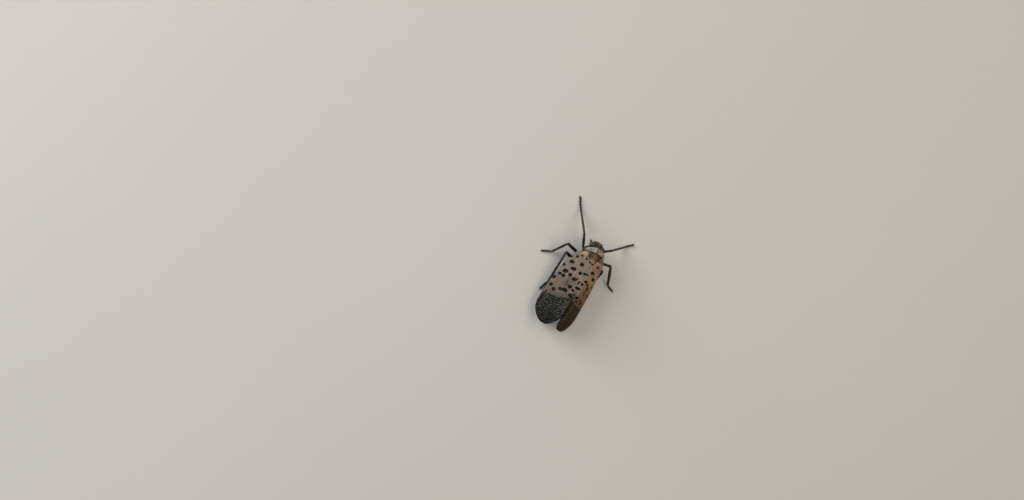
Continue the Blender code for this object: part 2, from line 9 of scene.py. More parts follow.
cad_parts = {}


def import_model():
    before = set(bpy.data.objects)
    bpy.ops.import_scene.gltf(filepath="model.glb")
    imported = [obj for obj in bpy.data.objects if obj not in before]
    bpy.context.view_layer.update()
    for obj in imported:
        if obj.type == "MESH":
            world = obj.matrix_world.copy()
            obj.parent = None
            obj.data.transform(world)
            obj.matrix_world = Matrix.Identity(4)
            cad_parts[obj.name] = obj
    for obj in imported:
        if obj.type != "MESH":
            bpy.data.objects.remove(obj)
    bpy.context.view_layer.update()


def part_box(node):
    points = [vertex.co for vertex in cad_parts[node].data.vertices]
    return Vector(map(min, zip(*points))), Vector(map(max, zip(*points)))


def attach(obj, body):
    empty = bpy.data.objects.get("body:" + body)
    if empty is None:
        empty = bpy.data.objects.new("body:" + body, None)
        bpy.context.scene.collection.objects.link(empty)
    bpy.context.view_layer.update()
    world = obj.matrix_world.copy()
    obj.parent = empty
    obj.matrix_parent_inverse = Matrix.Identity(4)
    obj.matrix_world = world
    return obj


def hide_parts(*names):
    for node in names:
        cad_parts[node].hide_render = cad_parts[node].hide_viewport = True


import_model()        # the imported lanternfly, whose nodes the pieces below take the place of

# A spotted lanternfly at rest, its wings folded like a roof.
# Shapes are worked out in millimetres, head to -Y, the insect's own left to +X, feet on z = 0.

mm = 0.001
draw = random.Random(27)
bothSides = ((1, "Left"), (-1, "Right"))

# The roof that the folded wings make: its ridge is each wing's inner margin, its eaves the outer one.
# Pairs are a place along the body and the width or height there.
roof = {
    "ridgeX": ((-8.15, 1.84), (-7.4, 1.20), (-6.95, 0.80), (-6.65, 0.48), (-6.3, 0.24), (-5.9, 0.17),
               (13.0, 0.16)),
    "ridgeZ": ((-8.15, 7.35), (-6.4, 7.8), (0.0, 7.85), (5.4, 7.75), (9.2, 7.25), (13.0, 5.2)),
    "eavesX": ((-8.15, 3.95), (-6.4, 4.63), (-4.7, 5.05), (-2.1, 5.52), (0.0, 5.83), (4.9, 6.12),
               (9.2, 6.1), (13.0, 5.2)),
    "eavesZ": ((-8.15, 5.85), (-6.4, 4.96), (-4.7, 4.43), (-2.1, 3.8), (0.0, 3.3), (4.9, 2.5),
               (9.2, 2.0), (13.0, 1.9)),
    "halfGap": 0.155, "bulge": 0.075,
    "bodyDepth": 1.74, "bodyUnder": -7.3,   # how far under the roof the body stays, and from where
}

# The model's own place: the drawing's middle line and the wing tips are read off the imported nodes.
rostrumLow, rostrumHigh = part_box("rostrum")
wingLow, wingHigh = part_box("tegmen_left")
moved = np.array([(rostrumLow.x + rostrumHigh.x) / 2 / mm, wingHigh.y / mm - 13.0, 0.0])


def smooth(stations, at):
    # the smooth curve through (place, value) stations, read at one place or many
    place, value = np.array(stations, float).T
    k = np.arange(len(place))
    after, before = np.minimum(k + 1, k[-1]), np.maximum(k - 1, 0)
    slope = (value[after] - value[before]) / (place[after] - place[before])
    at = np.clip(at, place[0], place[-1])
    k = np.clip(np.searchsorted(place, at, side="right") - 1, 0, len(place) - 2)
    step = place[k + 1] - place[k]
    t = (at - place[k]) / step
    start = value[k] * (2 * t**3 - 3 * t**2 + 1) + slope[k] * step * (t**3 - 2 * t**2 + t)
    return start + value[k + 1] * (3 * t**2 - 2 * t**3) + slope[k + 1] * step * (t**3 - t**2)


def mix(a, b, share):
    return a + (b - a) * share


def step(low, high, at):
    t = np.clip((at - low) / (high - low), 0, 1)
    return t * t * (3 - 2 * t)


def bump(at, middle, width):
    return np.exp(-((at - middle) / width) ** 2)


def circle(sides):
    return np.linspace(0, 2 * math.pi, sides, endpoint=False)


def unit(vector):
    return vector / np.linalg.norm(vector)


def onSide(side, point):
    return np.array(point) * (side, 1, 1)


def ruffle(points, *rows):
    # soft noise at every point; each row holds its height, the size of its lumps in mm and a seed
    flat, total = np.asarray(points).reshape(-1, 3), 0
    for height, size, seed in rows:
        values = [noise.noise(Vector((x + seed, y, z))) for x, y, z in flat / size]
        total = total + height * np.array(values)
    return total.reshape(np.shape(points)[:-1])


def halved(before, shape, times):
    # the share between 0 and 1 up to which the test holds
    low, high = np.zeros(shape), np.ones(shape)
    for _ in range(times):
        middle = (low + high) / 2
        holds = before(middle)
        low, high = np.where(holds, middle, low), np.where(holds, high, middle)
    return low


def roofPoint(side, y, share, depth):
    # a point on a folded wing, share of the way from ridge to eaves, depth under its upper face
    y, share, depth = np.broadcast_arrays(y, share, depth)
    lines = ("ridgeX", "ridgeZ", "eavesX", "eavesZ")
    ridgeX, ridgeZ, eavesX, eavesZ = (smooth(roof[line], y) for line in lines)
    chordX, chordZ = eavesX - ridgeX, eavesZ - ridgeZ
    bowX, bowZ = -chordZ * roof["bulge"] * 4, chordX * roof["bulge"] * 4
    alongX, alongZ = chordX + bowX * (1 - 2 * share), chordZ + bowZ * (1 - 2 * share)
    length = np.hypot(alongX, alongZ)
    x = ridgeX + chordX * share + bowX * share * (1 - share) + alongZ / length * depth
    z = ridgeZ + chordZ * share + bowZ * share * (1 - share) - alongX / length * depth
    return np.stack([side * np.maximum(x, roof["halfGap"]), y, z], -1)


def meshObject(name, points, faces, finish=None):
    # points in the drawing's millimetres, turned into the frame's metres, faces turned outwards
    mesh = bpy.data.meshes.new(name)
    mesh.from_pydata(((np.asarray(points) + moved) * mm).tolist(), [], faces)
    work = bmesh.new()
    work.from_mesh(mesh)
    bmesh.ops.recalc_face_normals(work, faces=work.faces)
    work.to_mesh(mesh)
    work.free()
    mesh.shade_smooth()
    if finish:
        mesh.materials.append(finish)
    piece = bpy.data.objects.new(name, mesh)
    bpy.context.scene.collection.objects.link(piece)
    return piece


def sheetObject(name, top, under, finish):
    # a closed thin plate between two grids of points
    grid = np.arange(top[..., 0].size).reshape(top.shape[:2])
    corners = (grid[:-1, :-1], grid[:-1, 1:], grid[1:, 1:], grid[1:, :-1])
    quads = np.stack([corner.ravel() for corner in corners], 1)
    rim = np.concatenate([grid[0, :-1], grid[:-1, -1], grid[-1, :0:-1], grid[:0:-1, 0]])
    onward = np.roll(rim, -1)
    wall = np.stack([onward, rim, rim + grid.size, onward + grid.size], 1)
    faces = [*quads.tolist(), *(quads[:, ::-1] + grid.size).tolist(), *wall.tolist()]
    return meshObject(name, np.concatenate([top.reshape(-1, 3), under.reshape(-1, 3)]), faces, finish)


def tubeObject(name, rings, finish=None):
    # a closed skin over rings of points, each end fanned to its own middle
    rings = np.asarray(rings)
    points = np.concatenate([rings.reshape(-1, 3), rings[:1].mean(1), rings[-1:].mean(1)])
    grid = np.arange(rings[..., 0].size).reshape(rings.shape[:2])
    after = np.roll(grid, -1, 1)
    faces = np.stack([grid[:-1], after[:-1], after[1:], grid[1:]], -1).reshape(-1, 4).tolist()
    tips = np.full(grid.shape[1], grid.size)
    faces += np.stack([after[0], grid[0], tips], 1).tolist()
    faces += np.stack([grid[-1], after[-1], tips + 1], 1).tolist()
    return meshObject(name, points, faces, finish)


def tubeRings(path, wide, tall, across, sides, square=1.0):
    # rings round a path; across may be one direction or one for each point
    path = np.asarray(path, float)
    along = np.gradient(path, axis=0)
    along /= np.linalg.norm(along, axis=1, keepdims=True)
    across = np.broadcast_to(across, path.shape)
    sideways = across - along * (across * along).sum(1, keepdims=True)
    sideways = sideways / np.linalg.norm(sideways, axis=1, keepdims=True)
    upright = np.cross(along, sideways)
    c, s = (np.sign(r) * np.abs(r) ** square for r in (np.cos(circle(sides)), np.sin(circle(sides))))
    wide, tall = (np.broadcast_to(r, len(path))[:, None, None] for r in (wide, tall))
    ring = sideways[:, None] * c[:, None] * wide + upright[:, None] * s[:, None] * tall
    return path[:, None] + ring


def joinObjects(name, shells):
    # several meshes made one
    work = bmesh.new()
    for shell in shells:
        work.from_mesh(shell.data)
        if shell is not shells[0]:
            bpy.data.objects.remove(shell)
    work.to_mesh(shells[0].data)
    work.free()
    shells[0].data.shade_smooth()
    shells[0].name = name
    return shells[0]


def paint(piece, name, values, *tips):
    # one value or vector for each point of the mesh, and for a tube's two tips, for the finish to read
    values = np.asarray(np.append(values, tips) if tips else values, np.float32)
    kind, field = ("FLOAT", "value") if values.ndim == 1 else ("FLOAT_VECTOR", "vector")
    piece.data.attributes.new(name, kind, "POINT").data.foreach_set(field, values.ravel())


def settle(piece, slot, *nodes):
    if nodes:
        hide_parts(*nodes)
    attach(piece, "root")


class Wire:
    # a shader socket that can be used in plain maths
    def __init__(self, finish, socket):
        self.finish, self.socket = finish, socket

    def maths(self, operation, *values):
        return self.finish.node("ShaderNodeMath", {"operation": operation}, dict(enumerate(values)))

    def __add__(self, other):
        return self.maths("ADD", self, other)

    def __radd__(self, other):
        return self.maths("ADD", other, self)

    def __sub__(self, other):
        return self.maths("SUBTRACT", self, other)

    def __rsub__(self, other):
        return self.maths("SUBTRACT", other, self)

    def __mul__(self, other):
        return self.maths("MULTIPLY", self, other)

    def __rmul__(self, other):
        return self.maths("MULTIPLY", other, self)

    def __truediv__(self, other):
        return self.maths("DIVIDE", self, other)

    def __rtruediv__(self, other):
        return self.maths("DIVIDE", other, self)

    def floored(self):
        return self.maths("FLOOR", self)

    def fraction(self):
        return self.maths("FRACT", self)

    def top(self, other):
        return self.maths("MAXIMUM", self, other)

    def size(self):
        return self.maths("ABSOLUTE", self)

    def between(self, low, high):
        # 0 below low, 1 above high, smooth in between
        settings = {"interpolation_type": "SMOOTHSTEP", "clamp": True}
        sockets = {"Value": self, "From Min": low, "From Max": high}
        return self.finish.node("ShaderNodeMapRange", settings, sockets)


class Finish:
    # one material: constants go on the shader's own sockets, what varies is wired in
    def __init__(self, name, rough, specular):
        self.material = bpy.data.materials.new(name)
        self.material.use_nodes = True
        self.tree = self.material.node_tree
        self.shader = self.tree.nodes["Principled BSDF"]
        self.shader.inputs["Roughness"].default_value = rough
        self.shader.inputs["Specular IOR Level"].default_value = specular

    def node(self, kind, settings, sockets, output=0):
        made = self.tree.nodes.new(kind)
        for key, value in settings.items():
            setattr(made, key, value)
        for key, value in sockets.items():
            if isinstance(value, Wire):
                self.tree.links.new(value.socket, made.inputs[key])
            else:
                made.inputs[key].default_value = value
        return Wire(self, made.outputs[output])

    def painted(self, name, output="Fac"):
        return self.node("ShaderNodeAttribute", {"attribute_name": name}, {}, output)

    def stretched(self, vector, factors):
        return self.node("ShaderNodeVectorMath", {"operation": "MULTIPLY"}, {0: vector, 1: factors})

    def spot(self):
        # where on the insect, in millimetres
        return self.stretched(self.node("ShaderNodeTexCoord", {}, {}, "Object"), (1 / mm,) * 3)

    def axis(self, vector, name):
        return self.node("ShaderNodeSeparateXYZ", {}, {0: vector}, name)

    def drawn(self, where, name):
        # a coordinate as the drawing has it, X to the insect's left and Y along its body
        return self.axis(where, name) - float(moved["XYZ".index(name)])

    def grain(self, vector, size, detail=3.0):
        # noise from 0 to 1, its lumps about that size in mm
        sockets = {"Vector": vector, "Scale": 1 / size, "Detail": detail, "Roughness": 0.55}
        return self.node("ShaderNodeTexNoise", {}, sockets)

    def cells(self, vector, size, feature="F1"):
        sockets = {"Vector": vector, "Scale": 1 / size}
        return self.node("ShaderNodeTexVoronoi", {"feature": feature}, sockets, "Distance")

    def blend(self, a, b, mask, how="MIX"):
        # colour a where the mask is 0, colour b, or a times b, where it is 1
        a, b = (c if isinstance(c, Wire) else (*c, 1) for c in (a, b))
        return self.node("ShaderNodeMix", {"data_type": "RGBA", "blend_type": how}, {0: mask, 6: a, 7: b}, 2)

    def layers(self, colour, tints, *rows):
        # one tint after another laid over the colour, each by its own mask
        for name, mask in rows:
            colour = self.blend(colour, tints[name], mask)
        return colour

    def wire(self, **sockets):
        for name, value in sockets.items():
            self.tree.links.new(value.socket, self.shader.inputs[name.replace("_", " ")])
        return self.material

    def done(self, colour, rough, height, depth):
        # height from 0 to 1, depth in mm
        relief = self.node("ShaderNodeBump", {}, {"Height": height, "Distance": depth * mm, "Strength": 1.0})
        return self.wire(Base_Color=colour, Roughness=rough, Normal=relief)


print("frame read, tools ready")


# Forewings: leathery and spotted to two thirds, then a dark net of fine veins

foreShape = {
    "base": ((0.0, -7.45), (0.35, -7.55), (0.6, -7.95), (0.82, -8.25), (0.93, -8.1), (1.0, -7.5)),
    "tipY": 13.0, "roundY": 8.4, "tipShare": 0.44, "closing": 0.985,
    "inner": 0.0, "outer": 1.0, "rootWidth": 1.0, "widening": 0.0, "rounding": 2.2, "innerRounding": 2.2,
}
# the right wing's hind corner is squarer
foreShapes = {1: foreShape, -1: dict(foreShape, innerRounding=4.6)}
forewing = {
    "rows": 440, "columns": 190, "thickness": 0.12, "meeting": 0.02, "partingY": (3.2, 6.5),
    "veinHeight": 0.075, "veinWidth": 0.085, "branchHeight": 0.035, "branchWidth": 0.05, "clavusEnd": 0.62,
    "netHeight": 0.03, "cellLength": 0.55, "cellWidth": 0.33,
    "sag": 0.03, "rim": 0.05, "rootCurl": 0.22, "marginCurl": 0.28,
    # height, size and seed of each ruffle: of the net's lines both ways, of the face and of its leather
    "netAcross": ((0.14, 1.4, 3.1), (0.07, 0.5, 8.4)),
    "netAlong": ((0.5, 3.2, 5.7), (0.20, 1.1, 1.9), (0.09, 0.5, 6.3)),
    "face": (0.025, 1.8, 2.2), "leather": (0.006, 0.16, 9.3),
    "spotScale": 1.06, "spotStretch": {1: 1.22, -1: 1.75}, "mottleStretch": {1: 1.0, -1: 1.8},
    "greyPatch": (-4.85, 0.95), "patchWidth": 0.62, "patchLength": 1.25, "closeY": (-6.9, -6.3),
}
# each vein: its place across the wing at the base, at the clavus end and at the tip, where it starts and ends
mainVeins = (
    (0.14, 0.045, 0.045, 0.0, 0.60), (0.30, 0.11, 0.11, 0.0, 0.66), (0.44, 0.27, 0.25, 0.0, 0.97),
    (0.57, 0.45, 0.43, 0.0, 0.97), (0.70, 0.64, 0.62, 0.0, 0.97), (0.85, 0.85, 0.82, 0.0, 0.97),
)
branchVeins = (
    (0.22, 0.075, 0.07, 0.18, 0.62), (0.44, 0.19, 0.17, 0.30, 0.95), (0.44, 0.36, 0.34, 0.26, 0.96),
    (0.57, 0.54, 0.53, 0.22, 0.96), (0.70, 0.745, 0.72, 0.24, 0.96), (0.85, 0.93, 0.90, 0.30, 0.96),
)
# Spots as the camera sees them: mm across the view and along the body, then the radius.
seen = {"tilt": 25.0, "offset": -4.8}
spots = {
    1: ((-5.6, -6.2, .33), (-4.6, -7.0, .26), (-3.25, -6.8, .27), (-2.1, -6.35, .22), (-7.0, -5.5, .3),
        (-6.25, -4.4, .5), (-3.65, -4.9, .45), (-7.8, -2.85, .4), (-5.25, -2.95, .46), (-4.8, -3.0, .44),
        (-3.0, -2.75, .4), (-2.0, -3.1, .3), (-6.65, -1.55, .58), (-5.1, -1.2, .45), (-2.95, -1.15, .2),
        (-3.75, -0.65, .46), (-3.45, -0.75, .4), (-2.15, -0.6, .25), (-7.6, -0.35, .4), (-6.55, -0.25, .46),
        (-2.25, -0.15, .2), (-8.5, 1.1, .45), (-3.75, 1.5, .47), (-2.65, 2.0, .33), (-2.0, 1.0, .38),
        (-8.3, 3.2, .42), (-5.6, 3.1, .42), (-4.5, 2.85, .54), (-2.65, 3.45, .45), (-1.75, 3.0, .2),
        (-7.15, 4.0, .44), (-8.6, 5.35, .24)),
    -1: ((-1.15, -6.2, .22), (-0.8, -6.8, .16), (0.4, -6.15, .3), (1.0, -6.1, .15), (-1.1, -3.2, .22),
         (-0.15, -4.25, .43), (0.8, -2.8, .47), (-0.6, -1.45, .4), (0.1, -0.85, .32), (-1.2, -0.45, .33),
         (0.6, -0.05, .38), (-1.4, 1.0, .3), (1.4, -0.9, .36), (-0.75, 3.25, .4), (0.25, 3.5, .3),
         (-0.45, 4.15, .3), (0.85, 4.1, .42), (0.05, 5.5, .16), (1.5, 1.65, .32)),
}
# Where the net begins, along the body, for a share of the way from ridge to eaves
netStart = {
    1: ((0.0, 3.3), (0.08, 3.8), (0.25, 4.5), (0.5, 5.25), (0.75, 5.5), (1.0, 5.7)),
    -1: ((0.0, 4.2), (0.25, 5.2), (0.5, 5.45), (0.75, 5.5), (1.0, 5.6)),
}


def wingGrid(shape, rows, columns):
    # rows lie closer together towards the rounded tip
    even = np.linspace(0, 1, rows)[:, None]
    along = (0.45 * even + 0.55 * np.sin(even * math.pi / 2)) * np.ones((1, columns))
    across = np.ones((rows, 1)) * np.linspace(0, 1, columns)
    y = mix(smooth(shape["base"], across), shape["tipY"], along)
    closing = np.maximum(0, (y - shape["roundY"]) / (shape["tipY"] - shape["roundY"])) * shape["closing"]
    spread, innerSpread = ((1 - closing ** shape[key]) ** 0.5 for key in ("rounding", "innerRounding"))
    outer = shape["outer"] * np.minimum(1.0, shape["rootWidth"] + along * shape["widening"])
    middle = shape["tipShare"]
    share = mix(mix(middle, shape["inner"], innerSpread), mix(middle, outer, spread), across)
    width = np.linalg.norm(roofPoint(1, y, 1.0, 0) - roofPoint(1, y, 0.0, 0), axis=-1)
    return along, across, y, share, width


def veinRidge(veins, along, across, width, height, halfWidth):
    # how high the veins stand, and how far it is to the nearest one
    rise, nearest, bend = np.zeros(along.shape), np.full(along.shape, 9.0), forewing["clavusEnd"]
    for base, middle, tip, start, end in veins:
        rear = mix(middle, tip, (along - bend) / (1 - bend))
        at = np.where(along < bend, mix(base, middle, np.minimum(1, along / bend)), rear)
        here = step(start - 0.03, start + 0.03, along) * (1 - step(end - 0.08, end, along))
        away = np.abs(across - at) * width
        rise = np.maximum(rise, height * bump(away, 0, halfWidth) * here)
        nearest = np.minimum(nearest, away + (1 - here) * 2)
    return rise, nearest


def shareInView(side, y, x):
    # which share of the wing's width is seen at that place across the camera's view
    tilt = math.radians(seen["tilt"])

    def before(share):
        point = roofPoint(side, y, share, 0)
        across = -math.cos(tilt) * point[0] + math.sin(tilt) * point[2] + seen["offset"]
        return (across < x) == (side < 0)

    return halved(before, (), 24)


def spotEdge(side, y, share, width):
    # how far outside the nearest spot each place is, less than 0 inside one
    pick = random.Random(5 + side)
    edge = np.full(y.shape, 9.0)
    for seenX, seenY, radius in spots[side]:
        middle = shareInView(side, seenY, seenX)
        dx, dy = (share - middle) * width / forewing["spotStretch"][side], y - seenY
        angle = np.arctan2(dy, dx)
        wobble = 1 + sum(high * np.sin(k * angle + pick.uniform(0, 6)) for k, high in ((2, 0.07), (3, 0.03)))
        edge = np.minimum(edge, np.hypot(dx, dy) - radius * forewing["spotScale"] * wobble)
    return edge


def netLines(netX, netY):
    # 1 on the veinlets of the net, 0 inside its cells, laid as courses of staggered bricks
    row = netY / forewing["cellLength"]
    column = netX / forewing["cellWidth"] + (np.floor(row) * 0.5) % 1
    toRow, toColumn = np.abs(row % 1 - 0.5) * 2, np.abs(column % 1 - 0.5) * 2
    return np.maximum(step(0.55, 0.9, toRow), step(0.62, 0.92, toColumn) * 0.7)


def closeRidge(side, points):
    # the two wings meet over the back, and part again towards their tips
    x, y = np.abs(points[..., 0]), points[..., 1]
    near = (1 - step(0.15, 0.55, x)) * step(*forewing["closeY"], y) * (1 - step(*forewing["partingY"], y))
    points[..., 0] = side * (x - (x.min() - forewing["meeting"]) * near)
    return points


def buildForewing(side, name, finish):
    along, across, y, share, width = wingGrid(foreShapes[side], forewing["rows"], forewing["columns"])
    flat = roofPoint(side, y, share, 0)
    grid = (along, across, width)
    rise, toVein = veinRidge(mainVeins, *grid, forewing["veinHeight"], forewing["veinWidth"])
    twigs, toTwig = veinRidge(branchVeins, *grid, forewing["branchHeight"], forewing["branchWidth"])
    rise = np.maximum(rise, twigs)
    netEdge = y - smooth(netStart[side], share)
    netX = share * width + ruffle(flat, *forewing["netAcross"])
    netY = y + ruffle(flat, *forewing["netAlong"])
    sag = forewing["sag"] * (1 - bump(toVein, 0, 0.4)) + ruffle(flat, forewing["face"])
    toEdge, toRidge, toRoot = (1 - across) * width, share * width, y - smooth(foreShape["base"], across)
    curl = forewing["rootCurl"] * bump(toRoot, 0, 0.25)
    curl += forewing["marginCurl"] * (1 - step(0.0, 0.35, toRidge)) * (1 - step(*forewing["closeY"], y))
    height = rise + netLines(netX, netY) * step(0.0, 0.5, netEdge) * forewing["netHeight"] - sag - curl
    height += forewing["rim"] * (1 - step(0.0, 0.12, toEdge))
    height += ruffle(flat, forewing["leather"]) * (1 - step(0.0, 0.8, netEdge))
    depth = forewing["thickness"] - 0.5 * rise + sag + curl
    faces = (closeRidge(side, roofPoint(side, y, share, below)) for below in (-height, depth))
    piece = sheetObject(name, *faces, finish)
    patchX, patchY = forewing["greyPatch"]
    patchAway = (share - shareInView(1, patchY, patchX)) * width
    for key, values in {
        "spotEdge": spotEdge(side, y, share, width), "netEdge": netEdge, "toVein": toVein, "toTwig": toTwig,
        "toEdge": toEdge, "toRidge": toRidge, "creamRoot": bump(toRoot, 0, 0.8) * bump(share, 0.42, 0.27),
        "greyPatch": bump(patchAway, 0, forewing["patchWidth"]) * bump(y, patchY, forewing["patchLength"]),
    }.items():
        paint(piece, key, np.tile(values.ravel(), 2))
    paint(piece, "netPlace", np.tile(np.stack([netX.ravel(), netY.ravel(), np.zeros(netX.size)], 1), (2, 1)))
    return piece


wingTints = {
    "tan": (0.162, 0.136, 0.105), "pink": (0.200, 0.145, 0.102), "warm": (0.232, 0.145, 0.086),
    "bluish": (0.112, 0.118, 0.112), "salmon": (0.345, 0.132, 0.066), "grey": (0.100, 0.104, 0.096),
    "patch": (0.046, 0.050, 0.048), "beforeNet": (0.056, 0.048, 0.038), "byRidge": (0.030, 0.027, 0.024),
    "strip": (0.150, 0.147, 0.130), "cream": (0.330, 0.236, 0.148), "vein": (0.225, 0.205, 0.172),
    "dark": (0.060, 0.047, 0.035), "spot": (0.003, 0.003, 0.003),
    "veinlet": (0.085, 0.086, 0.076), "edge": (0.070, 0.070, 0.062), "ridge": (0.012, 0.012, 0.011),
    "seam": (0.040, 0.036, 0.031),
}
# Painted light and shade: the right wing, turned away from the key light, is tinted as if lit by warm
# reflected light, browner all over and darker towards the net; the left wing is only darker towards the net.
# Tints all over, at the front, towards the net and on the net's veinlets, then the colour of the net's cells.
wingShade = {
    1: ((1.0, 1.0, 1.0), (1.0, 1.0, 1.0), (0.72, 0.70, 0.68), (1.0, 1.0, 1.0), (0.002, 0.002, 0.002)),
    -1: ((1.48, 1.46, 1.42), (1.18, 0.92, 0.66), (0.65, 0.46, 0.255), (0.95, 0.63, 0.24),
         (0.010, 0.0064, 0.0019)),
}


def wingFinish(side, name):
    made = Finish(name, 0.62, 0.12)
    overall, front, rear, onNet, cell = wingShade[side]
    where = made.spot()
    toEdge, toRidge, toVein, toTwig, netEdge, creamRoot, greyPatch, spotAway = (made.painted(key) for key in (
        "toEdge", "toRidge", "toVein", "toTwig", "netEdge", "creamRoot", "greyPatch", "spotEdge"))
    netPlace = made.painted("netPlace", "Vector")
    fine, speck, hue = (made.grain(where, *size) for size in ((0.22, 4.0), (0.07, 2.0), (1.25, 2.0)))
    blush = made.grain(made.stretched(netPlace, (1 / forewing["mottleStretch"][side], 0.55, 1.0)), 0.34, 2.0)
    mesh = made.cells(made.stretched(netPlace, (1.0, 0.55, 1.0)), 0.16, "DISTANCE_TO_EDGE")
    veins = (1 - toVein.between(0.03, 0.11)).top((1 - toTwig.between(0.02, 0.06)) * 0.6)
    veins = veins.top((1 - toRidge.between(0.15, 0.40)) * 1.1)
    # leathery part: tan mottled with pink, reddish brown and a bluish grey, darker before the net
    colour = made.layers(
        wingTints["tan"], wingTints,
        ("pink", made.grain(where, 2.4, 2.0).between(0.42, 0.62)),
        ("warm", hue.between(0.49, 0.64) * 0.8),
        ("bluish", (1 - hue.between(0.37, 0.49)) * 0.8),
        ("salmon", blush.between(0.53, 0.70) * 0.85),
        ("grey", (1 - blush.between(0.33, 0.45)) * 0.8),
        ("beforeNet", netEdge.between(-1.9, -0.3) * 0.55),
        ("patch", greyPatch * 0.9),
        ("strip", (1 - (toEdge + (fine - 0.5) * 0.2).between(0.40, 0.80)) * 0.85),
        ("cream", creamRoot.between(0.06, 0.55) * 0.85),
        ("vein", veins * 0.60),
        ("byRidge", (1 - toRidge.between(0.4, 1.3)) * netEdge.between(-2.9, -0.6) * 0.75),
        # painted shade: a dark line along the seam where the two wings meet
        ("seam", (1 - toRidge.between(0.03, 0.09)) * 0.8),
        ("vein", (1 - mesh.between(0.03, 0.12)) * 0.16),
        ("dark", fine.between(0.35, 0.8) * 0.22))
    # net: dark cells between paler veinlets, broken into dashes, palest by the ridge
    row = made.axis(netPlace, "Y") / forewing["cellLength"]
    column = made.axis(netPlace, "X") / forewing["cellWidth"] + (row.floored() * 0.5).fraction()
    toRow, toColumn = ((way.fraction() - 0.5).size() * 2 for way in (row, column))
    lines = toRow.between(0.42, 0.74).top(toColumn.between(0.70, 0.90) * 0.5)
    lines = lines * (0.10 + made.grain(where, 0.42, 1.0).between(0.42, 0.60) * 0.9)
    lines = lines * (1 - netEdge.between(3.0, 7.5) * 0.55) * (1.6 - toRidge.between(0.6, 2.4) * 0.85)
    lines = lines * (0.55 + netEdge.between(0.2, 1.0) * 0.45)
    veinlet = tuple(a * b for a, b in zip(wingTints["veinlet"], onNet))
    net = made.blend(cell, veinlet, lines * 1.1)
    net = made.blend(net, veinlet, (1 - toVein.between(0.02, 0.06)) * 0.3)
    net = made.blend(net, wingTints["edge"], (1 - toEdge.between(0.02, 0.07)) * 0.5)
    # painted shade: right by the ridge the net darkens to the ridge tint, the shadow in the gap between the
    # wings
    net = made.blend(wingTints["ridge"], net, toRidge.between(0.10, 0.30))
    # the side's painted shade and warm reflected light, growing away from the ridge
    away, onward = toRidge.between(0.1, 2.2), netEdge.between(-7.5, -3.5)
    colour = made.blend(colour, front, away * (1 - onward), "MULTIPLY")
    colour = made.blend(colour, rear, away * onward, "MULTIPLY")
    ragged = netEdge + (made.grain(where, 0.8, 3.0) - 0.5) * 0.7
    colour = made.blend(colour, net, ragged.between(-0.12, 0.18))
    colour = made.blend(colour, overall, 1.0, "MULTIPLY")
    spotMask = 1 - (spotAway + (fine - 0.5) * 0.06).between(-0.04, 0.05)
    colour = made.blend(colour, wingTints["spot"], spotMask)
    height = speck * 0.35 + fine * 0.35 + (1 - mesh.between(0.0, 0.15)) * 0.3
    return made.done(colour, 0.56 + speck * 0.22 - spotMask * 0.08, height, 0.016)


for side, word in bothSides:
    wing = buildForewing(side, "forewing" + word, wingFinish(side, "forewing" + word))
    settle(wing, "grey_tan_wing", "tegmen_" + word.lower())
print("forewings spotted and netted")

# Hindwings: thin, pleated, red at the root, then a pale band and a black tip

hindwing = {
    "shape": {
        "base": ((0.0, -5.75), (1.0, -5.75)), "tipY": 11.4, "roundY": 6.0, "tipShare": 0.42,
        "closing": 0.98, "inner": 0.03, "outer": 0.86, "rootWidth": 0.62, "widening": 1.8,
        "rounding": 2.2, "innerRounding": 2.2,
    },
    "rows": 150, "columns": 150, "depth": 1.06, "thickness": 0.09,
    "pleats": 9, "pleatDepth": 0.11, "crest": 0.02,
    "red": (0.45, 0.018, 0.012), "pale": (0.55, 0.52, 0.46), "black": (0.012, 0.011, 0.011),
    "redEnd": 2.4, "paleEnd": 5.2, "spotSize": 1.15, "root": (0.03, 0.008, 0.007), "rootEnd": -4.3,
}


def hindwingFinish():
    made = Finish("hindwing", 0.5, 0.4)
    where = made.spot()
    along = made.painted("alongBody") + (made.grain(where, 1.2, 3.0) - 0.5) * 0.9
    redEnd, paleEnd, rootEnd = (hindwing[key] for key in ("redEnd", "paleEnd", "rootEnd"))
    dots = 1 - made.cells(where, hindwing["spotSize"]).between(0.24, 0.30)
    colour = made.layers(
        hindwing["red"], hindwing,
        ("pale", along.between(redEnd, redEnd + 0.5)),
        ("black", dots * (1 - along.between(redEnd - 0.3, redEnd))),
        ("black", along.between(paleEnd, paleEnd + 0.4)),
        ("root", 1 - along.between(rootEnd - 0.5, rootEnd + 0.8)))
    fine = made.grain(made.stretched(where, (1.0, 0.25, 1.0)), 0.12, 3.0)
    return made.done(colour, 0.42 + fine * 0.25, fine, 0.01)


def buildHindwing(side, name, finish):
    along, across, y, share = wingGrid(hindwing["shape"], hindwing["rows"], hindwing["columns"])[:4]
    fade = step(0.0, 0.25, along) * (1 - step(0.75, 1.0, along))
    turns = math.pi * hindwing["pleats"] * across
    depth = hindwing["depth"] - hindwing["pleatDepth"] * np.cos(2 * turns) * fade
    crest = hindwing["crest"] * np.abs(np.cos(turns)) ** 8
    faces = (roofPoint(side, y, share, below) for below in (depth - crest, depth + hindwing["thickness"]))
    piece = sheetObject(name, *faces, finish)
    paint(piece, "alongBody", np.tile(y.ravel(), 2))
    return piece


hindFinish = hindwingFinish()
for side, word in bothSides:
    settle(buildHindwing(side, "hindwing" + word, hindFinish), "red_hindwing", "hindwing_" + word.lower())
print("hindwings pleated")

# Collar behind the head: an arch of pale cuticle, longest in the middle, with a keel and two pits

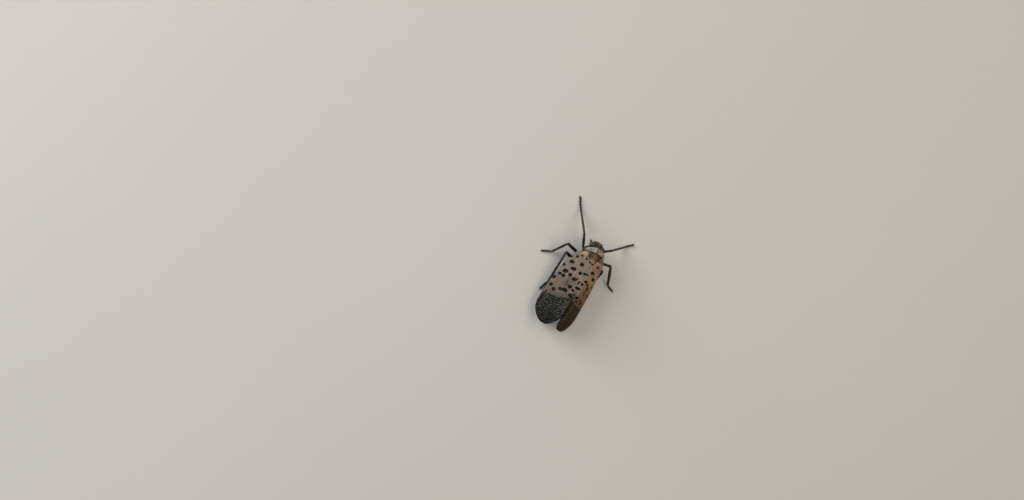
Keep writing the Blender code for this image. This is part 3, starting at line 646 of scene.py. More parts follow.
collar = {
    "frontY": -10.55, "rearY": -9.2, "centreZ": 4.6, "sweep": 1.12, "rearSweep": 0.5, "reach": 80.0,
    "outside": ((2.90, 2.70), (3.38, 2.89)), "squareness": 0.55, "thickness": 0.26,
    "roundFrom": 60.0, "tuck": 0.12, "around": 190, "along": 44, "keel": 0.09,
    "pitX": 0.95, "pitDepth": 0.09, "rim": 0.045, "lobeRise": 0.06,
    "ruffles": ((0.022, 0.5, 4.4), (0.008, 0.14, 6.1)),
    "pale": (0.27, 0.225, 0.178), "white": (0.40, 0.345, 0.285), "tan": (0.115, 0.092, 0.066),
    "dark": (0.020, 0.018, 0.016), "lobe": (0.085, 0.082, 0.070), "paintedWarmLight": (0.27, 0.125, 0.055),
    "pink": (0.30, 0.20, 0.145), "stripe": (0.100, 0.056, 0.028), "grey": (0.16, 0.158, 0.142),
}


def collarShape(angle, share, under):
    front = collar["frontY"] + collar["sweep"] * np.abs(np.sin(angle)) ** 1.2
    reached = np.abs(np.sin(angle)) ** collar["squareness"]
    rear = collar["rearY"] + collar["rearSweep"] * reached**1.6
    # the two lower ends are rounded off and lie close to the body
    start, reach = collar["roundFrom"], collar["reach"]
    end = np.clip((np.degrees(np.abs(angle)) - start) / (reach - start), 0, 1)
    share = 0.5 + (share - 0.5) * np.sqrt(1 - 0.97 * end**2)
    halfWidth, height = (mix(a, b, share) - under for a, b in zip(*collar["outside"]))
    x = np.sign(angle) * reached * halfWidth * (1 - collar["tuck"] * end**1.5)
    z = collar["centreZ"] + height * np.cos(angle) ** collar["squareness"]
    return np.stack([x, mix(front, rear, share), z], -1)


def buildCollar():
    # the columns are spread evenly over the back, where the arch is nearly flat
    spread = np.linspace(-1, 1, collar["around"])
    angle = np.radians(collar["reach"] * np.sign(spread) * np.abs(spread) ** 1.6)[:, None]
    share = np.linspace(0, 1, collar["along"])[None]
    degrees = np.abs(np.degrees(angle))
    flat = collarShape(angle, share, 0 * share * angle)
    out = np.abs(flat[..., 0])
    height = collar["keel"] * bump(out, 0, 0.09) * (0.35 + 0.65 * step(0.0, 0.3, share))
    height = height - collar["pitDepth"] * bump(out, collar["pitX"], 0.32) * bump(share, 0.5, 0.2)
    height = height + collar["rim"] * (bump(share, 0.03, 0.06) + 0.6 * bump(share, 0.97, 0.05))
    height = height + collar["lobeRise"] * (bump(degrees, 52, 4) - bump(degrees, 61, 5))
    height = height + ruffle(flat, *collar["ruffles"])
    thin = 1 - 0.6 * step(62, collar["reach"], degrees)
    under = collar["thickness"] * thin + 0 * height
    faces = (collarShape(angle, share, below) for below in (0.03 - height, under))
    return sheetObject("collar", *faces, collarFinish())


def collarFinish():
    made = Finish("collar", 0.65, 0.25)
    where = made.spot()
    side, up = made.drawn(where, "X"), made.axis(where, "Z")
    patches, fine, streaks = (made.grain(where, *size) for size in ((0.6, 3.0), (0.11, 4.0), (0.40, 2.0)))
    # a painted highlight left of the middle line, which is brown; rusty patches of painted warm reflected
    # light on the right half
    paintedHighlight = (1 - (side - 0.75).size().between(0.1, 0.9)) * (0.4 + streaks.between(0.35, 0.55) * 0.6)
    paintedWarmLight = patches.between(0.44, 0.56) * (1 - side.between(-0.7, -0.3)) * side.between(-2.3, -1.6)
    colour = made.layers(
        collar["pale"], collar,
        ("pink", streaks.between(0.52, 0.62) * 0.7),
        ("grey", (1 - streaks.between(0.38, 0.47)) * 0.8),
        ("tan", patches.between(0.52, 0.66) * 0.75),
        ("white", paintedHighlight * 0.8),
        ("stripe", (1 - (side.size() + (patches - 0.5) * 0.5).between(0.10, 0.30)) * 0.75),
        ("paintedWarmLight", paintedWarmLight * 0.75),
        # painted shade: the right end greyed
        ("grey", (1 - side.between(-2.6, -1.9)) * 0.7),
        ("lobe", (1 - up.between(6.35, 6.75)) * 0.85 * (0.45 + 0.55 * side.between(-1, 1))),
        ("dark", (1 - up.between(5.5, 6.1)) * 0.85),
        ("dark", fine.between(0.55, 0.8) * 0.35))
    return made.done(colour, 0.55 + fine * 0.2, fine, 0.02)


settle(buildCollar(), "grey_brown_cuticle", "pronotum")
print("collar done")

# Back shield between the wing roots: three keels, orange-brown in the middle, darker at its sides

shield = {
    "frontY": -9.4, "apexY": -6.1, "frontZ": 7.16, "apexZ": 7.60,
    "outline": ((-9.4, 2.50), (-8.7, 2.45), (-8.15, 2.25), (-7.8, 1.92), (-7.4, 1.42), (-6.95, 0.94),
                (-6.6, 0.56), (-6.3, 0.26), (-6.1, 0.05)),
    "underZ": 6.1, "drop": 0.098, "keel": 0.075, "keelWidth": 0.05, "rows": 100, "columns": 111,
    "ruffle": (0.014, 0.35, 2.9),
    "middle": (0.160, 0.083, 0.033), "sides": (0.046, 0.034, 0.021), "pale": (0.30, 0.190, 0.105),
    "flank": (0.150, 0.148, 0.130), "mottle": (0.045, 0.032, 0.020), "front": (0.028, 0.023, 0.018),
}


def buildShield():
    along = np.linspace(0, 1, shield["rows"])[:, None]
    across = np.linspace(1, -1, shield["columns"])[None]
    y = mix(shield["frontY"], shield["apexY"], along) + 0 * across
    halfWidth = smooth(shield["outline"], y)
    x = halfWidth * across
    z = mix(shield["frontZ"], shield["apexZ"], np.sin(math.pi / 2 * along)) - shield["drop"] * x**2
    keels = bump(x, 0, shield["keelWidth"]) + bump(np.abs(x), 0.26 * halfWidth + 0.12, shield["keelWidth"])
    wrinkle = 0.012 * np.sin(y * 34) * step(0.55, 0.8, along)
    flat = np.stack([x, y, z], -1)
    z = z + shield["keel"] * keels * step(0, 0.06, along) + wrinkle + ruffle(flat, shield["ruffle"])
    z = z - 0.09 * bump(along, 0.0, 0.05) - 0.35 * step(0.90, 1.0, along)
    under = np.stack([x * 0.92, y, np.full(x.shape, shield["underZ"])], -1)
    return sheetObject("backShield", np.stack([x, y, z], -1), under, shieldFinish())


def shieldFinish():
    made = Finish("backShield", 0.6, 0.2)
    where = made.spot()
    side, along = made.drawn(where, "X"), made.drawn(where, "Y")
    off = side.size() + (made.grain(where, 0.7, 3.0) - 0.5) * 0.9
    fine = made.grain(where, 0.10, 4.0)
    streaks = made.grain(made.stretched(where, (1.0, 0.3, 1.0)), 0.24, 2.0)
    colour = made.layers(
        shield["middle"], shield,
        ("mottle", streaks.between(0.44, 0.62) * 0.7),
        ("sides", off.between(0.30, 1.15) * 0.9),
        ("pale", along.between(-7.6, -6.9) * (1 - off.between(0.5, 0.9)) * 0.8),
        # painted light: a pale bluish grey on the left flank only
        ("flank", off.between(1.5, 1.9) * side.between(-1.0, 1.0)),
        # painted shadow under the collar's rear edge
        ("front", (1 - along.between(-9.15, -8.75)) * 0.8),
        ("mottle", fine.between(0.5, 0.8) * 0.3))
    return made.done(colour, 0.5 + fine * 0.25, fine, 0.018)


settle(buildShield(), "grey_brown_cuticle", "mesonotum")

# Shoulder scales: ear-shaped cream plates that cover the wing roots

shoulder = {
    "centre": (2.58, -7.93, 6.98), "slope": 30.0, "halfLength": 0.71, "halfThick": 0.23,
    "rings": 60, "sides": 72,
    # half the width from the pointed front to the broad hind edge
    "outline": ((-1.0, 0.02), (-0.93, 0.24), (-0.75, 0.44), (-0.4, 0.66), (0.0, 0.81), (0.4, 0.87),
                (0.7, 0.78), (0.9, 0.52), (1.0, 0.04)),
    "skew": 0.22, "crease": 0.10, "lip": 0.07, "ruffles": ((0.022, 0.22, 7.0), (0.03, 0.55, 2.0)),
    "cream": (0.31, 0.222, 0.136), "tan": (0.17, 0.118, 0.074), "white": (0.42, 0.36, 0.27),
    "rim": (0.085, 0.064, 0.046), "shade": (0.52, 0.49, 0.47),
}


def buildShoulder(side, name, finish):
    slope = math.radians(shoulder["slope"])
    out = np.array([side * math.cos(slope), 0, -math.sin(slope)])
    up = np.array([side * math.sin(slope), 0, math.cos(slope)])
    along = -np.cos(np.linspace(0.04, math.pi - 0.04, shoulder["rings"]))[:, None]
    b = circle(shoulder["sides"])[None]
    halfWidth = smooth(shoulder["outline"], along)
    full = (halfWidth / 0.87) ** 0.7
    rise = np.sin(b) * full * shoulder["halfThick"] * np.where(np.sin(b) > 0, 1.15, 1.6)
    # a crease along the inner side and a raised lip round the edge, on the upper face only
    crease = step(0.0, 0.5, np.sin(b)) * bump(np.cos(b), -0.42, 0.16) * bump(along, 0.1, 0.6)
    rise = rise - shoulder["crease"] * full * crease + shoulder["lip"] * full * bump(np.sin(b), 0.22, 0.16)
    across = np.cos(b) * halfWidth + shoulder["skew"] * along
    onward = np.stack([0 * along, along * shoulder["halfLength"], 0 * along], -1)
    rings = onSide(side, shoulder["centre"]) + onward + out * across[..., None] + up * rise[..., None]
    rings = rings + up * ruffle(rings, *shoulder["ruffles"])[..., None]
    piece = tubeObject(name, rings, finish)
    paint(piece, "edge", np.abs(np.cos(b)) + 0 * along, 1.0, 1.0)
    return piece


def shoulderFinish():
    made = Finish("shoulderScale", 0.6, 0.3)
    where = made.spot()
    fine, patches, flecks = (made.grain(where, *size) for size in ((0.08, 4.0), (0.42, 3.0), (0.20, 2.0)))
    side, along = made.drawn(where, "X"), made.drawn(where, "Y")
    colour = made.layers(
        shoulder["cream"], shoulder,
        ("tan", patches.between(0.50, 0.66) * 0.7),
        ("white", flecks.between(0.58, 0.68) * 0.7),
        ("tan", (1 - flecks.between(0.30, 0.42)) * 0.6),
        ("rim", made.painted("edge").between(0.86, 0.99) * 0.55),
        ("rim", (1 - along.between(-8.7, -8.2)) * 0.7),
        ("rim", fine.between(0.52, 0.8) * 0.4))
    # painted shade: the right scale darkened and greyed
    colour = made.blend(colour, shoulder["shade"], 1 - side.between(-2.0, -1.0), "MULTIPLY")
    return made.done(colour, 0.5 + fine * 0.2, fine * 0.6 + flecks * 0.4, 0.02)


scaleFinish = shoulderFinish()
for side, word in bothSides:
    scale = buildShoulder(side, "shoulderScale" + word, scaleFinish)
    settle(scale, "cream_shoulder", "tegula_" + word.lower())
print("back shield and shoulder scales done")


# Head, neck, thorax, beak and legs: one black skin

trunk = {
    "stations": (-10.95, -3.2), "rings": 120, "sides": 72, "middleZ": 4.6, "ruffle": (0.016, 0.6, 3.3),
    "halfWidth": ((-10.95, 0.8), (-10.6, 1.25), (-10.2, 1.75), (-9.8, 2.25), (-9.4, 2.55), (-8.8, 2.66),
                  (-7.2, 2.62), (-5.6, 2.55), (-4.5, 2.5), (-3.2, 1.9)),
    "lowZ": ((-10.95, 4.4), (-10.6, 3.9), (-10.2, 3.5), (-9.8, 3.25), (-9.4, 3.1), (-8.6, 2.9), (-7.2, 2.5),
             (-5.6, 2.25), (-3.2, 2.6)),
    "highZ": ((-10.95, 6.2), (-10.6, 6.75), (-10.2, 6.98), (-9.6, 7.03), (-9.1, 7.0), (-8.6, 6.8),
              (-7.2, 6.5), (-5.6, 6.2), (-3.2, 5.4)),
    "seams": ((-8.95, 0.03), (-7.75, 0.07), (-6.1, 0.07), (-4.6, 0.06)), "seamWidth": 0.07,
}
# the plainer barrel that the legs are set on
barrel = {
    "halfWidth": ((-9.45, 1.55), (-8.6, 2.1), (-7.2, 2.5), (-5.6, 2.55), (-4.5, 2.5), (-3.95, 2.3)),
    "lowZ": ((-9.45, 3.8), (-8.6, 3.05), (-7.2, 2.5), (-5.6, 2.25), (-3.95, 2.35)),
    "highZ": ((-9.45, 6.3), (-8.6, 6.4), (-7.2, 6.35), (-5.6, 6.2), (-3.95, 5.9)),
}
head = {
    # height, then the middle's place along the body, half the width and half the depth
    "rings": ((3.02, -10.78, 0.32, 0.30), (3.40, -10.86, 0.50, 0.50), (3.85, -10.95, 0.80, 0.74),
              (4.40, -10.98, 1.08, 0.92), (5.00, -10.97, 1.24, 1.03), (5.55, -10.93, 1.33, 1.10),
              (5.95, -10.90, 1.36, 1.14), (6.28, -11.10, 1.12, 0.92), (6.55, -11.52, 0.95, 0.44),
              (6.72, -11.50, 0.72, 0.28), (6.79, -11.48, 0.40, 0.12)),
    "count": 110, "sides": 110, "keel": 0.10, "keelWidth": 0.055, "middleKeel": 0.045,
    "keelX": ((3.4, 0.30), (4.2, 0.60), (5.0, 0.74), (6.0, 0.70), (6.6, 0.55)),
    "mouthSeam": 4.15, "ruffle": (0.012, 0.35, 1.2),
}
beak = {
    # place along the body, height and radius
    "path": ((-10.85, 3.25, 0.30), (-10.8, 2.85, 0.27), (-10.74, 2.5, 0.27), (-10.45, 2.3, 0.26),
             (-9.8, 2.26, 0.25), (-8.6, 2.22, 0.24), (-7.0, 1.86, 0.23), (-5.4, 1.68, 0.20),
             (-3.2, 1.62, 0.10)),
    "joints": (0.12, 0.34, 0.66), "count": 160, "sides": 20,
}
eye = {
    "centre": (1.30, -10.75, 5.85), "radii": (1.09, 0.67, 0.81), "rimX": 1.43, "rings": 60, "sides": 90,
    "facet": 0.035, "dark": (0.014, 0.012, 0.011), "brown": (0.045, 0.028, 0.02),
    "rimWidth": 0.05, "rimHorn": ((0.020, 0.016, 0.013), (0.042, 0.033, 0.026), 0.5),
}


def trunkRings(shape, y, groove):
    y, angle = y[:, None], circle(shape["sides"])[None]
    low, high = smooth(shape["lowZ"], y), smooth(shape["highZ"], y)
    x = smooth(shape["halfWidth"], y) * (1 - groove) * np.sin(angle)
    sunk = groove * (high - low) / 2
    z = mix(low + sunk, high - sunk, (1 + np.cos(angle)) / 2)
    y = y + 0 * x
    # the body stays under the wings
    share = halved(lambda middle: roofPoint(1, y, middle, roof["bodyDepth"])[..., 0] < np.abs(x), x.shape, 16)
    pressed = roofPoint(1, y, share, roof["bodyDepth"])[..., 2]
    return np.stack([x, y, np.where(y > roof["bodyUnder"], np.minimum(z, pressed), z)], -1)


def unevenTube(name, shape, rings, finish=None):
    # the rings of a body, made a little uneven about its middle line
    y = rings[:, :1, 1]
    middle = np.stack([0 * y, y, np.full(y.shape, shape["middleZ"])], -1)
    swell = 1 + ruffle(rings, shape["ruffle"])
    return tubeObject(name, middle + (rings - middle) * swell[..., None], finish)


def buildTrunk():
    y = np.linspace(*trunk["stations"], trunk["rings"])
    groove = sum(depth * bump(y, at, trunk["seamWidth"]) for at, depth in trunk["seams"])[:, None]
    return unevenTube("trunk", trunk, trunkRings(trunk, y, groove))


def buildHead():
    stations = np.array(head["rings"])
    z = np.linspace(stations[0, 0], stations[-1, 0], head["count"])[:, None]
    middleY, halfWidth, halfDepth = (smooth(stations[:, (0, k)], z) for k in (1, 2, 3))
    angle = circle(head["sides"])[None]
    x = halfWidth * np.sin(angle)
    keelX = smooth(head["keelX"], z)
    # two side keels and a middle one, the seam above the mouth and a shallow face between the keels
    rise = head["keel"] * bump(np.abs(x), keelX, head["keelWidth"]) * step(3.5, 4.1, z)
    rise = rise + head["middleKeel"] * bump(x, 0, 0.05) * step(4.2, 4.6, z) * (1 - step(6.0, 6.4, z))
    rise = rise - 0.06 * bump(z, head["mouthSeam"] - 0.25 * (x / 0.6) ** 2, 0.045)
    rise = rise - 0.05 * (1 - step(keelX - 0.25, keelX, np.abs(x))) * step(4.3, 4.7, z)
    forward = np.sign(np.cos(angle)) * np.abs(np.cos(angle)) ** 0.8
    y = middleY - (halfDepth + rise * step(0.1, 0.5, np.cos(angle))) * forward
    rings = np.stack([x, y, z + 0 * x], -1)
    rings[..., 1] += ruffle(rings, head["ruffle"])
    return tubeObject("headShell", rings)


def buildBeak():
    way = np.array(beak["path"])
    gone = np.concatenate([[0], np.cumsum(np.hypot(*np.diff(way[:, :2], axis=0).T))])
    at = np.linspace(0, gone[-1], beak["count"])
    y, z, radius = (smooth(np.stack([gone, way[:, k]], 1), at) for k in range(3))
    for joint in beak["joints"]:
        radius = radius * (1 - 0.18 * bump(at / gone[-1], joint, 0.008))
    path = np.stack([0 * y, y, z], -1)
    return tubeObject("beak", tubeRings(path, radius * 0.9, radius, (1, 0, 0), beak["sides"]))


def buildSocket(side):
    # the side of the head swells out to carry the eye
    middleY, middleZ = eye["centre"][1:]
    t = np.linspace(0, 1, 24)
    path = np.stack([side * mix(0.5, eye["rimX"], t), middleY + 0 * t, mix(middleZ - 0.25, middleZ, t)], -1)
    grow = mix(0.72, 1.03, t**0.7)
    wide, tall = (radius * grow for radius in eye["radii"][1:])
    return tubeObject("socket", tubeRings(path, wide, tall, (0, 1, 0), 60))


# Where each coxa leaves the thorax (y, and degrees from straight down), then the knee, ankle and toe
legs = {
    "fore_left": ((-8.45, 34), (4.3, -12.4, 4.3), (6.6, -17.5, 0.55), (8.1, -20.0)),
    "fore_right": ((-8.45, -34), (-5.0, -11.7, 4.4), (-9.5, -13.9, 0.55), (-11.9, -15.8)),
    "mid_left": ((-6.9, 38), (7.1, -8.0, 4.5), (8.2, -4.3, 0.55), (10.6, -3.3)),
    "mid_right": ((-6.9, -38), (-6.9, -8.0, 4.5), (-10.7, -3.4, 0.55), (-12.8, -2.6)),
    "hind_left": ((-5.1, 40), (6.0, -5.9, 3.7), (5.1, 2.9, 0.55), (6.1, 5.4)),
    "hind_right": ((-5.1, -40), (-5.9, -5.9, 3.7), (-5.2, 2.9, 0.55), (-6.3, 5.4)),
}
leg = {
    "sides": 24, "spacing": 0.07, "sunk": 0.75, "coxa": 1.2, "footZ": 0.24, "footRadius": 0.27,
    "squareness": 0.88, "edges": 0.05, "ruffle": (0.035, 0.3, 6.6),
    "roundings": (0.3, 0.36, 0.36),   # of hip, knee and ankle
    # how the joints pinch in: share of the bend, then the share of the full radius
    "pinch": ((0.0, 1.0), (0.3, 0.98), (0.62, 0.74), (0.85, 0.84), (1.0, 1.0)),
    # share of the way, radius across the leg's plane, radius in it
    "coxaRadii": ((0.0, 0.62, 0.62), (0.5, 0.55, 0.55), (1.0, 0.40, 0.42)),
    "femurRadii": ((0.0, 0.34, 0.36), (0.06, 0.29, 0.31), (0.3, 0.34, 0.47), (0.6, 0.33, 0.45),
                   (0.86, 0.29, 0.36), (1.0, 0.33, 0.43)),
    "foreTibia": ((0.0, 0.28, 0.34), (0.06, 0.26, 0.34), (0.4, 0.27, 0.44), (0.8, 0.25, 0.38),
                  (1.0, 0.27, 0.33)),
    "midTibia": ((0.0, 0.28, 0.34), (0.06, 0.26, 0.33), (0.4, 0.27, 0.40), (0.8, 0.25, 0.34),
                 (1.0, 0.27, 0.33)),
    "hindTibia": ((0.0, 0.28, 0.34), (0.06, 0.25, 0.31), (0.5, 0.26, 0.33), (0.85, 0.27, 0.33),
                  (1.0, 0.33, 0.37)),
    # three tarsal segments, each swelling towards its end
    "footSwell": ((0.0, 0.84), (0.12, 0.80), (0.29, 1.08), (0.335, 1.0), (0.36, 0.68), (0.42, 0.80),
                  (0.57, 1.06), (0.61, 1.0), (0.64, 0.66), (0.72, 0.78), (0.92, 0.98), (1.0, 0.80)),
}


def barrelPoint(y, angle):
    low, high = smooth(barrel["lowZ"], y), smooth(barrel["highZ"], y)
    x = smooth(barrel["halfWidth"], y) * math.sin(angle)
    return np.array([float(x), y, float(mix(low, high, (1 - math.cos(angle)) / 2))])


def straight(a, b):
    count = max(2, int(np.linalg.norm(b - a) / leg["spacing"]))
    return a + (b - a) * np.linspace(0, 1, count)[:, None]


def curve(start, at, end, t):
    return start * (1 - t) ** 2 + at * 2 * t * (1 - t) + end * t**2


def rounded(before, at, after, rounding):
    start, end = at + unit(before - at) * rounding, at + unit(after - at) * rounding
    return start, end, curve(start, at, end, np.linspace(0, 1, 14)[1:-1, None])


def radiiAlong(stations, line):
    table, at = np.array(stations), np.linspace(0, 1, len(line))
    return np.stack([smooth(table[:, (0, k)], at) for k in (1, 2)], 1)


def legLine(name):
    # the leg's middle line, its radii, the way across it and which part each place is on,
    # then the way that the foot points and the way across that
    root, knee, ankle, toe = (np.array(point) for point in legs[name])
    y, angle = root[0], math.radians(root[1])
    surface = barrelPoint(y, angle)
    outward = unit(np.cross(barrelPoint(y + 0.1, angle) - barrelPoint(y - 0.1, angle),
                            barrelPoint(y, angle + 0.1) - barrelPoint(y, angle - 0.1)))
    hip, level = surface + outward * leg["coxa"], np.append(toe, ankle[2])
    stops, toe = (surface, hip, knee, ankle, level), np.append(toe, leg["footZ"])
    bends = [rounded(*stops[k:k + 3], leg["roundings"][k]) for k in range(3)]
    (hipStart, hipEnd, hipCurve), (kneeStart, kneeEnd, kneeCurve), (ankleStart, ankleEnd, ankleCurve) = bends
    across, ahead = unit(np.cross(knee - hip, ankle - knee)), unit((toe - ankleEnd) * (1, 1, 0))
    coxa, femur = straight(surface - outward * leg["sunk"], hipStart), straight(hipEnd, kneeStart)
    tibia, foot = straight(kneeEnd, ankleStart), straight(ankleEnd, toe)
    t = np.linspace(0, 1, len(foot))
    foot[:, 2] = leg["footZ"] + (ankleEnd[2] - leg["footZ"]) * np.maximum(0, 1 - t / 0.3) ** 1.5
    coxaRadii, femurRadii = radiiAlong(leg["coxaRadii"], coxa), radiiAlong(leg["femurRadii"], femur)
    tibiaRadii = radiiAlong(leg[name.split("_")[0] + "Tibia"], tibia)
    footRadii = smooth(leg["footSwell"], t)[:, None] * leg["footRadius"] * np.ones(2)
    pinch = smooth(leg["pinch"], np.linspace(0, 1, len(kneeCurve)))[:, None]
    hipRadii = np.linspace(coxaRadii[-1], femurRadii[0], len(hipCurve)) * pinch
    kneeRadii = np.linspace(femurRadii[-1], tibiaRadii[0], len(kneeCurve)) * pinch
    ankleRadii = np.linspace(tibiaRadii[-1], footRadii[0], len(ankleCurve)) * (0.5 + 0.5 * pinch)
    lines = (coxa, hipCurve, femur, kneeCurve, tibia, ankleCurve, foot)
    path, part = np.concatenate(lines), np.repeat(range(7), [len(line) for line in lines])
    radius = np.concatenate([coxaRadii, hipRadii, femurRadii, kneeRadii, tibiaRadii, ankleRadii, footRadii])
    # the rings turn level on their way into the foot
    sideways = np.array([-ahead[1], ahead[0], 0])
    sideways = sideways * (1 if sideways @ across > 0 else -1)
    turning = len(ankleCurve) + 6
    turn = np.clip((np.arange(len(path)) - (len(path) - len(foot) - turning)) / turning, 0, 1)[:, None]
    across = across * (1 - turn) + sideways * turn
    return {"path": path, "radius": radius, "across": across, "part": part,
            "ahead": ahead, "sideways": sideways}


legLines = {name: legLine(name) for name in legs}


def buildLeg(name):
    line = legLines[name]
    path, (wide, tall) = line["path"], line["radius"].T
    rings = tubeRings(path, wide, tall, line["across"], leg["sides"], leg["squareness"])
    # the long segments have four soft edges
    edges = leg["edges"] * np.cos(4 * circle(leg["sides"]))[None] * np.isin(line["part"], (2, 4))[:, None]
    edges = edges + ruffle(rings, leg["ruffle"])
    rings = path[:, None] + (rings - path[:, None]) * (1 + edges)[..., None]
    rings[..., 2] = np.maximum(rings[..., 2], 0.0)
    return tubeObject("legShell", rings)


def unite(name, shells):
    # a real union of closed shells, so that the skin is one surface
    skin, *others = shells
    for shell in others:
        union = skin.modifiers.new("union", "BOOLEAN")
        union.operation, union.solver, union.object = "UNION", "MANIFOLD", shell
    bpy.context.view_layer.update()
    graph = bpy.context.evaluated_depsgraph_get()
    joined = bpy.data.meshes.new_from_object(skin.evaluated_get(graph))
    skin.modifiers.clear()
    skin.data, skin.name = joined, name
    for shell in others:
        bpy.data.objects.remove(shell)
    skin.data.shade_smooth()
    return skin


skinTints = {
    "black": (0.009, 0.009, 0.009), "bloom": (0.050, 0.051, 0.049), "brown": (0.026, 0.018, 0.013),
    "crown": (0.024, 0.022, 0.019), "wedge": (0.092, 0.079, 0.061), "joint": (0.045, 0.031, 0.022),
    "jointSize": 0.38,
}


def skinFinish():
    made = Finish("blackSkin", 0.5, 0.28)
    where = made.spot()
    fine, patches = made.grain(where, 0.09, 4.0), made.grain(where, 0.8, 3.0)
    bloom = patches.between(0.38, 0.72) * 0.75 + fine.between(0.45, 0.8) * 0.25
    side, crown = made.drawn(where, "X") + (patches - 0.5) * 0.4, made.painted("crown")
    colour = made.layers(
        skinTints["black"], skinTints,
        ("bloom", bloom * 0.75),
        ("brown", made.grain(where, 1.5, 2.0).between(0.5, 0.7) * 0.5),
        ("crown", crown * 0.8),
        ("wedge", crown * (1 - side.size().between(0.2, 0.7)) * 0.85),
        ("joint", made.painted("joint") * 0.6))
    return made.done(colour, 0.40 + fine * 0.2 + bloom * 0.1, fine, 0.02)


def buildSkin():
    shells = [buildTrunk(), buildHead(), buildBeak(), buildSocket(1), buildSocket(-1)]
    skin = unite("skin", shells + [buildLeg(name) for name in legs])
    skin.data.materials.clear()
    skin.data.materials.append(skinFinish())
    points = np.empty(len(skin.data.vertices) * 3)
    skin.data.vertices.foreach_get("co", points)
    points = points.reshape(-1, 3) / mm - moved
    paint(skin, "crown", step(6.1, 6.5, points[:, 2]) * (1 - step(-10.4, -9.9, points[:, 1])))
    bends = [line["path"][line["part"] == bend].mean(0) for line in legLines.values() for bend in (1, 3, 5)]
    away = np.min([np.linalg.norm(points - bend, axis=1) for bend in bends], 0)
    paint(skin, "joint", np.exp(-((away / skinTints["jointSize"]) ** 4)))
    return skin


skin = buildSkin()
settle(skin, "black_cuticle", "head", "thorax", "rostrum",
       *(f"leg_{name}_{part}" for name in legs for part in ("femur", "tibia", "tarsus")))
print("skin united", len(skin.data.polygons), "faces")

# Claws, spines and bristles of the legs; horn is the colour at the root and the tip, then the roughness

claw = {
    "length": 0.5, "sunk": 0.12, "rootSpread": 0.11, "tipSpread": 0.30, "radius": 0.085, "tipZ": 0.04,
    "pad": (-0.05, 0.30), "padZ": 0.13, "padRadius": 0.12,
    "horn": ((0.016, 0.012, 0.010), (0.06, 0.035, 0.02), 0.28),
}
spine = {
    "length": 0.78, "radius": 0.13, "lean": 0.7, "places": (0.22, 0.38, 0.54, 0.70, 0.86),
    "combTeeth": 7, "toothRadius": 0.06, "horn": ((0.014, 0.012, 0.011), (0.05, 0.035, 0.025), 0.35),
}
bristle = {
    "perMm": 26, "length": (0.10, 0.26), "radius": 0.011, "lean": 0.9,
    "horn": ((0.03, 0.028, 0.026), (0.07, 0.065, 0.06), 0.5),
}


def hornTube(name, start, middle, end, radius, sides, count):
    t = np.linspace(0, 1, count)[:, None]
    width = radius * (1 - t[:, 0]) ** 0.8 + 0.004
    across = unit(np.cross(end - start, (0.31, 0.27, 0.9)))
    return tubeObject(name, tubeRings(curve(start, middle, end, t), width, width, across, sides))


def settleHorn(piece, slot, root, tip, rough):
    made = Finish(piece.name, rough, 0.5)
    fine = made.grain(made.spot(), 0.06, 3.0)
    colour = made.blend(root, tip, fine.between(0.3, 0.7))
    piece.data.materials.append(made.done(colour, rough - 0.08 + fine * 0.16, fine, 0.006))
    settle(piece, slot)


def buildClaws():
    made = []
    for line in legLines.values():
        toe, ahead, sideways = line["path"][-1], line["ahead"], line["sideways"]
        for out in (-sideways, sideways):
            start = toe - ahead * claw["sunk"] + out * claw["rootSpread"]
            end = toe + ahead * claw["length"] + out * claw["tipSpread"]
            middle = (start + end) / 2 + out * 0.06
            start[2], middle[2], end[2] = leg["footZ"], leg["footZ"] + 0.22, claw["tipZ"]
            made.append(hornTube("claw", start, middle, end, claw["radius"], 10, 14))
        # the soft pad between the two claws
        pad = toe + ahead * np.linspace(*claw["pad"], 12)[:, None]
        pad[:, 2] = np.linspace(leg["footZ"], claw["padZ"], 12)
        swell = claw["padRadius"] * np.sin(np.linspace(0.5, math.pi - 0.05, 12)) ** 0.6
        rings = tubeRings(pad, swell * 1.2, swell * 0.7, sideways, 14)
        rings[..., 2] = np.maximum(rings[..., 2], 0.0)
        made.append(tubeObject("pad", rings))
    return joinObjects("claws", made)


def buildSpines():
    made = []
    for name, out in (("hind_left", 1.0), ("hind_right", -1.0)):
        line = legLines[name]
        shin, across = line["path"][line["part"] == 4], line["across"][0]
        along = unit(shin[-1] - shin[0])
        way = unit(np.array([out, 0, 0]) + along * spine["lean"])
        for share in spine["places"]:
            base = shin[int(share * (len(shin) - 1))]
            end = base + way * spine["length"]
            middle = (base + end) / 2 - along * 0.04
            made.append(hornTube("spine", base, middle, end, spine["radius"], 12, 14))
        # a comb of teeth round the shin's end
        down = unit(np.cross(along, across))
        for around in np.linspace(-0.65, 0.65, spine["combTeeth"]) * math.pi:
            way = math.cos(around) * down + math.sin(around) * unit(across)
            base = shin[-1] + way * 0.2
            end = base + way * 0.16 + along * 0.30
            middle = (base + end) / 2 + way * 0.05
            made.append(hornTube("tooth", base, middle, end, spine["toothRadius"], 8, 8))
    return joinObjects("legSpines", made)


